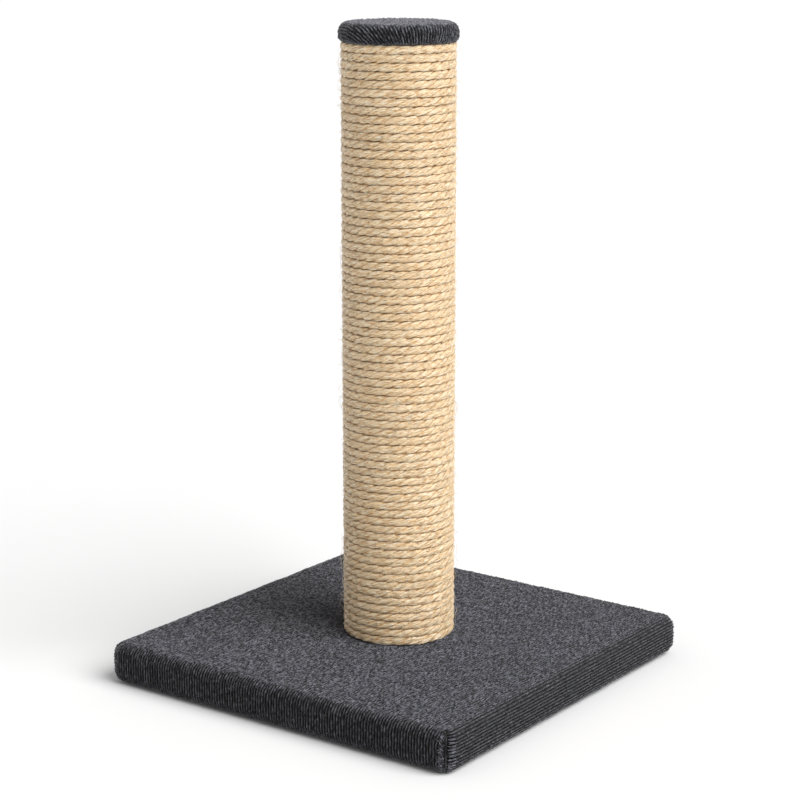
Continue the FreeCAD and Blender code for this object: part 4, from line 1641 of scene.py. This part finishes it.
    def _hairs(self, kind: Hair) -> bpy.types.Object:
        """Makes fibres of one kind, bowed over the rope's surface."""
        draw, count = np.random.default_rng(kind.seed), kind.count
        turn = draw.uniform(0.2, self.turns - 0.2, count)
        span = draw.uniform(*kind.length, count) * MM
        slope = draw.normal(kind.slope, kind.steep, count)
        bow = draw.uniform(*kind.stand, count) * MM
        start = draw.uniform(-kind.start, kind.start, count) * MM
        curl = draw.normal(0, kind.curl, count)
        lines = []
        for part in np.linspace(0, 1, kind.joints):
            bearing, height = self.centre(turn)
            run = (part - 0.5) * span
            bearing = bearing + run / self.hair_radius
            rise = start + slope * run + curl * (part - 0.5) ** 2 * span
            height = np.clip(height + rise, *self.hair_heights)
            wave = np.sin(math.pi * (height - self.first_height) / self.pitch)
            skin = self.path_radius + self.hair_reach - self.hair_groove * wave**2
            lift = bow * np.sin(math.pi * part) ** 0.8
            radius = skin + self.hair_lift + lift
            place = [radius * np.cos(bearing), radius * np.sin(bearing), height]
            lines.append(np.column_stack(place))
        thick = draw.uniform(*kind.thick, count) * MM
        lines = np.stack(lines, axis=1)
        return Fibres(kind.name, lines, thick, draw.random(count)).build()


class Hardware:
    """The solids that are kept from the frame, each with its finish."""

    FINISHES = {
        Slot.FIBREBOARD: FibreboardFinish(),
        Slot.PLUG_WOOD: PlywoodFinish(),
        Slot.TUBE_BOARD: CardboardFinish(),
        Slot.PAD_RUBBER: RubberFinish(),
        Slot.ZINC_STEEL: ZincFinish(),
    }

    def build(self) -> None:
        """Dresses every kept solid with the finish of its slot."""
        materials = {slot: finish.material() for slot, finish in self.FINISHES.items()}
        for row in frame["record"]["subparts"]:
            slot = Slot(row["material_slot"])
            if slot not in materials:
                continue
            node = frame["nodes"][row["node"]]
            node.data.materials.clear()
            node.data.materials.append(materials[slot])
            LOG.info("%s: kept, %s", row["node"], slot.value)


# ------------------------------------------------------------------------------------ stage


@dataclass
class Studio:
    """A plain pale floor, soft light and the camera at the photograph's angle."""

    azimuth: float = math.radians(36.279)
    pitch: float = math.radians(13.351)
    yaw: float = math.radians(-0.035)
    distance: float = 1.55555
    height: float = 0.57434
    lens: float = 98.98  # in millimetres, as the sensor
    sensor: float = 36.0
    far: float = 100.0
    floor_half: float = 30.0
    floor_greys: Span = (0.885, 0.895)
    floor_grain: Scale = (3, 3, 3)
    key_turn: tuple[float, float, float] = (math.radians(46), 0.0, math.radians(88))
    key_strength: float = 3.15
    key_spread: float = math.radians(50)
    seen_strength: float = 1.0  # of the world, to the camera
    light_strength: float = 0.45  # and to the object

    def build(self) -> None:
        """Makes the floor, the lights and the camera."""
        self._floor()
        self._world()
        self._key_light()
        self._camera()
        bpy.context.scene.view_settings.view_transform = "Standard"

    def _floor(self) -> None:
        """Makes the floor, white to the camera but for the shadows on it."""
        bm = bmesh.new()
        bmesh.ops.create_grid(bm, x_segments=1, y_segments=1, size=self.floor_half)
        floor = new_piece("studio_floor", mesh_from("studio_floor", bm))
        graph = NodeGraph("studio_floor")
        grain = graph.noise(graph.place(), self.floor_grain)
        dark, pale = self.floor_greys
        graph.colour(graph.ramp(grain, [(0.3, dark), (0.7, pale)]))
        graph.set(Roughness=0.95, Specular_IOR_Level=0.0)
        floor.data.materials.append(graph.material)

    def _world(self) -> None:
        """Lights the scene evenly, and shows white to the camera."""
        world = bpy.data.worlds.new("studio")
        bpy.context.scene.world = world
        world.use_nodes = True
        tree = world.node_tree
        tree.nodes.clear()
        seen = tree.nodes.new("ShaderNodeBackground")
        light = tree.nodes.new("ShaderNodeBackground")
        for background, strength in (
            (seen, self.seen_strength),
            (light, self.light_strength),
        ):
            NodeGraph.tune(background, Color=(1.0, 1.0, 1.0, 1.0), Strength=strength)
        rays = tree.nodes.new("ShaderNodeLightPath")
        shown = rays.outputs["Is Camera Ray"]
        for kind in ("Is Glossy Ray", "Is Transmission Ray"):
            either = tree.nodes.new("ShaderNodeMath")
            either.operation = "MAXIMUM"
            tree.links.new(shown, either.inputs[0])
            tree.links.new(rays.outputs[kind], either.inputs[1])
            shown = either.outputs[0]
        mixed = tree.nodes.new("ShaderNodeMixShader")
        output = tree.nodes.new("ShaderNodeOutputWorld")
        tree.links.new(shown, mixed.inputs[0])
        tree.links.new(light.outputs[0], mixed.inputs[1])
        tree.links.new(seen.outputs[0], mixed.inputs[2])
        tree.links.new(mixed.outputs[0], output.inputs["Surface"])

    def _key_light(self) -> None:
        """Adds the broad soft light, as strong everywhere."""
        lamp = bpy.data.lights.new("key_light", "SUN")
        lamp.energy = self.key_strength
        lamp.angle = self.key_spread
        holder = bpy.data.objects.new("key_light", lamp)
        holder.rotation_euler = self.key_turn
        bpy.context.scene.collection.objects.link(holder)

    def _camera(self) -> None:
        """Places the camera."""
        data = bpy.data.cameras.new("photo_camera")
        data.sensor_width = self.sensor
        data.lens = self.lens
        data.clip_end = self.far
        camera = bpy.data.objects.new("photo_camera", data)
        bpy.context.scene.collection.objects.link(camera)
        camera.location = (
            math.sin(self.azimuth) * self.distance,
            -math.cos(self.azimuth) * self.distance,
            self.height,
        )
        turn, level = self.azimuth + self.yaw, math.cos(self.pitch)
        forward = Vector(
            (-math.sin(turn) * level, math.cos(turn) * level, -math.sin(self.pitch))
        )
        camera.rotation_mode = "QUATERNION"
        camera.rotation_quaternion = forward.to_track_quat("-Z", "Y")
        bpy.context.scene.camera = camera


BASE_FOLD = Fold(
    half=152.8 * MM,
    top=31.1 * MM,
    bottom=0.5 * MM,
    radius=9.3 * MM,
    under_radius=9.3 * MM,
    opening=116.8 * MM,
)
CAP_FOLD = Fold(
    half=42.55 * MM,
    top=477.2 * MM,
    bottom=463.1 * MM,
    radius=7.6 * MM,
    under_radius=3.6 * MM,
    opening=27.55 * MM,
)


def main() -> None:
    """Builds the object's classes in order, and then the stage."""
    logging.basicConfig(level=logging.INFO, format="%(message)s")
    carpet, pile = CarpetFinish().material(), PileFinish().material()
    base = BaseCover(BASE_FOLD)
    base.build(carpet, pile)
    base.build_liner(NonwovenFinish().material())
    CapCover(CAP_FOLD).build(carpet, pile)
    rope = RopeWrap()
    rope.build(SisalFinish().material())
    rope.build_hairs(HairFinish().material())
    Hardware().build()
    Studio().build()


if __name__ == "__main__":
    main()
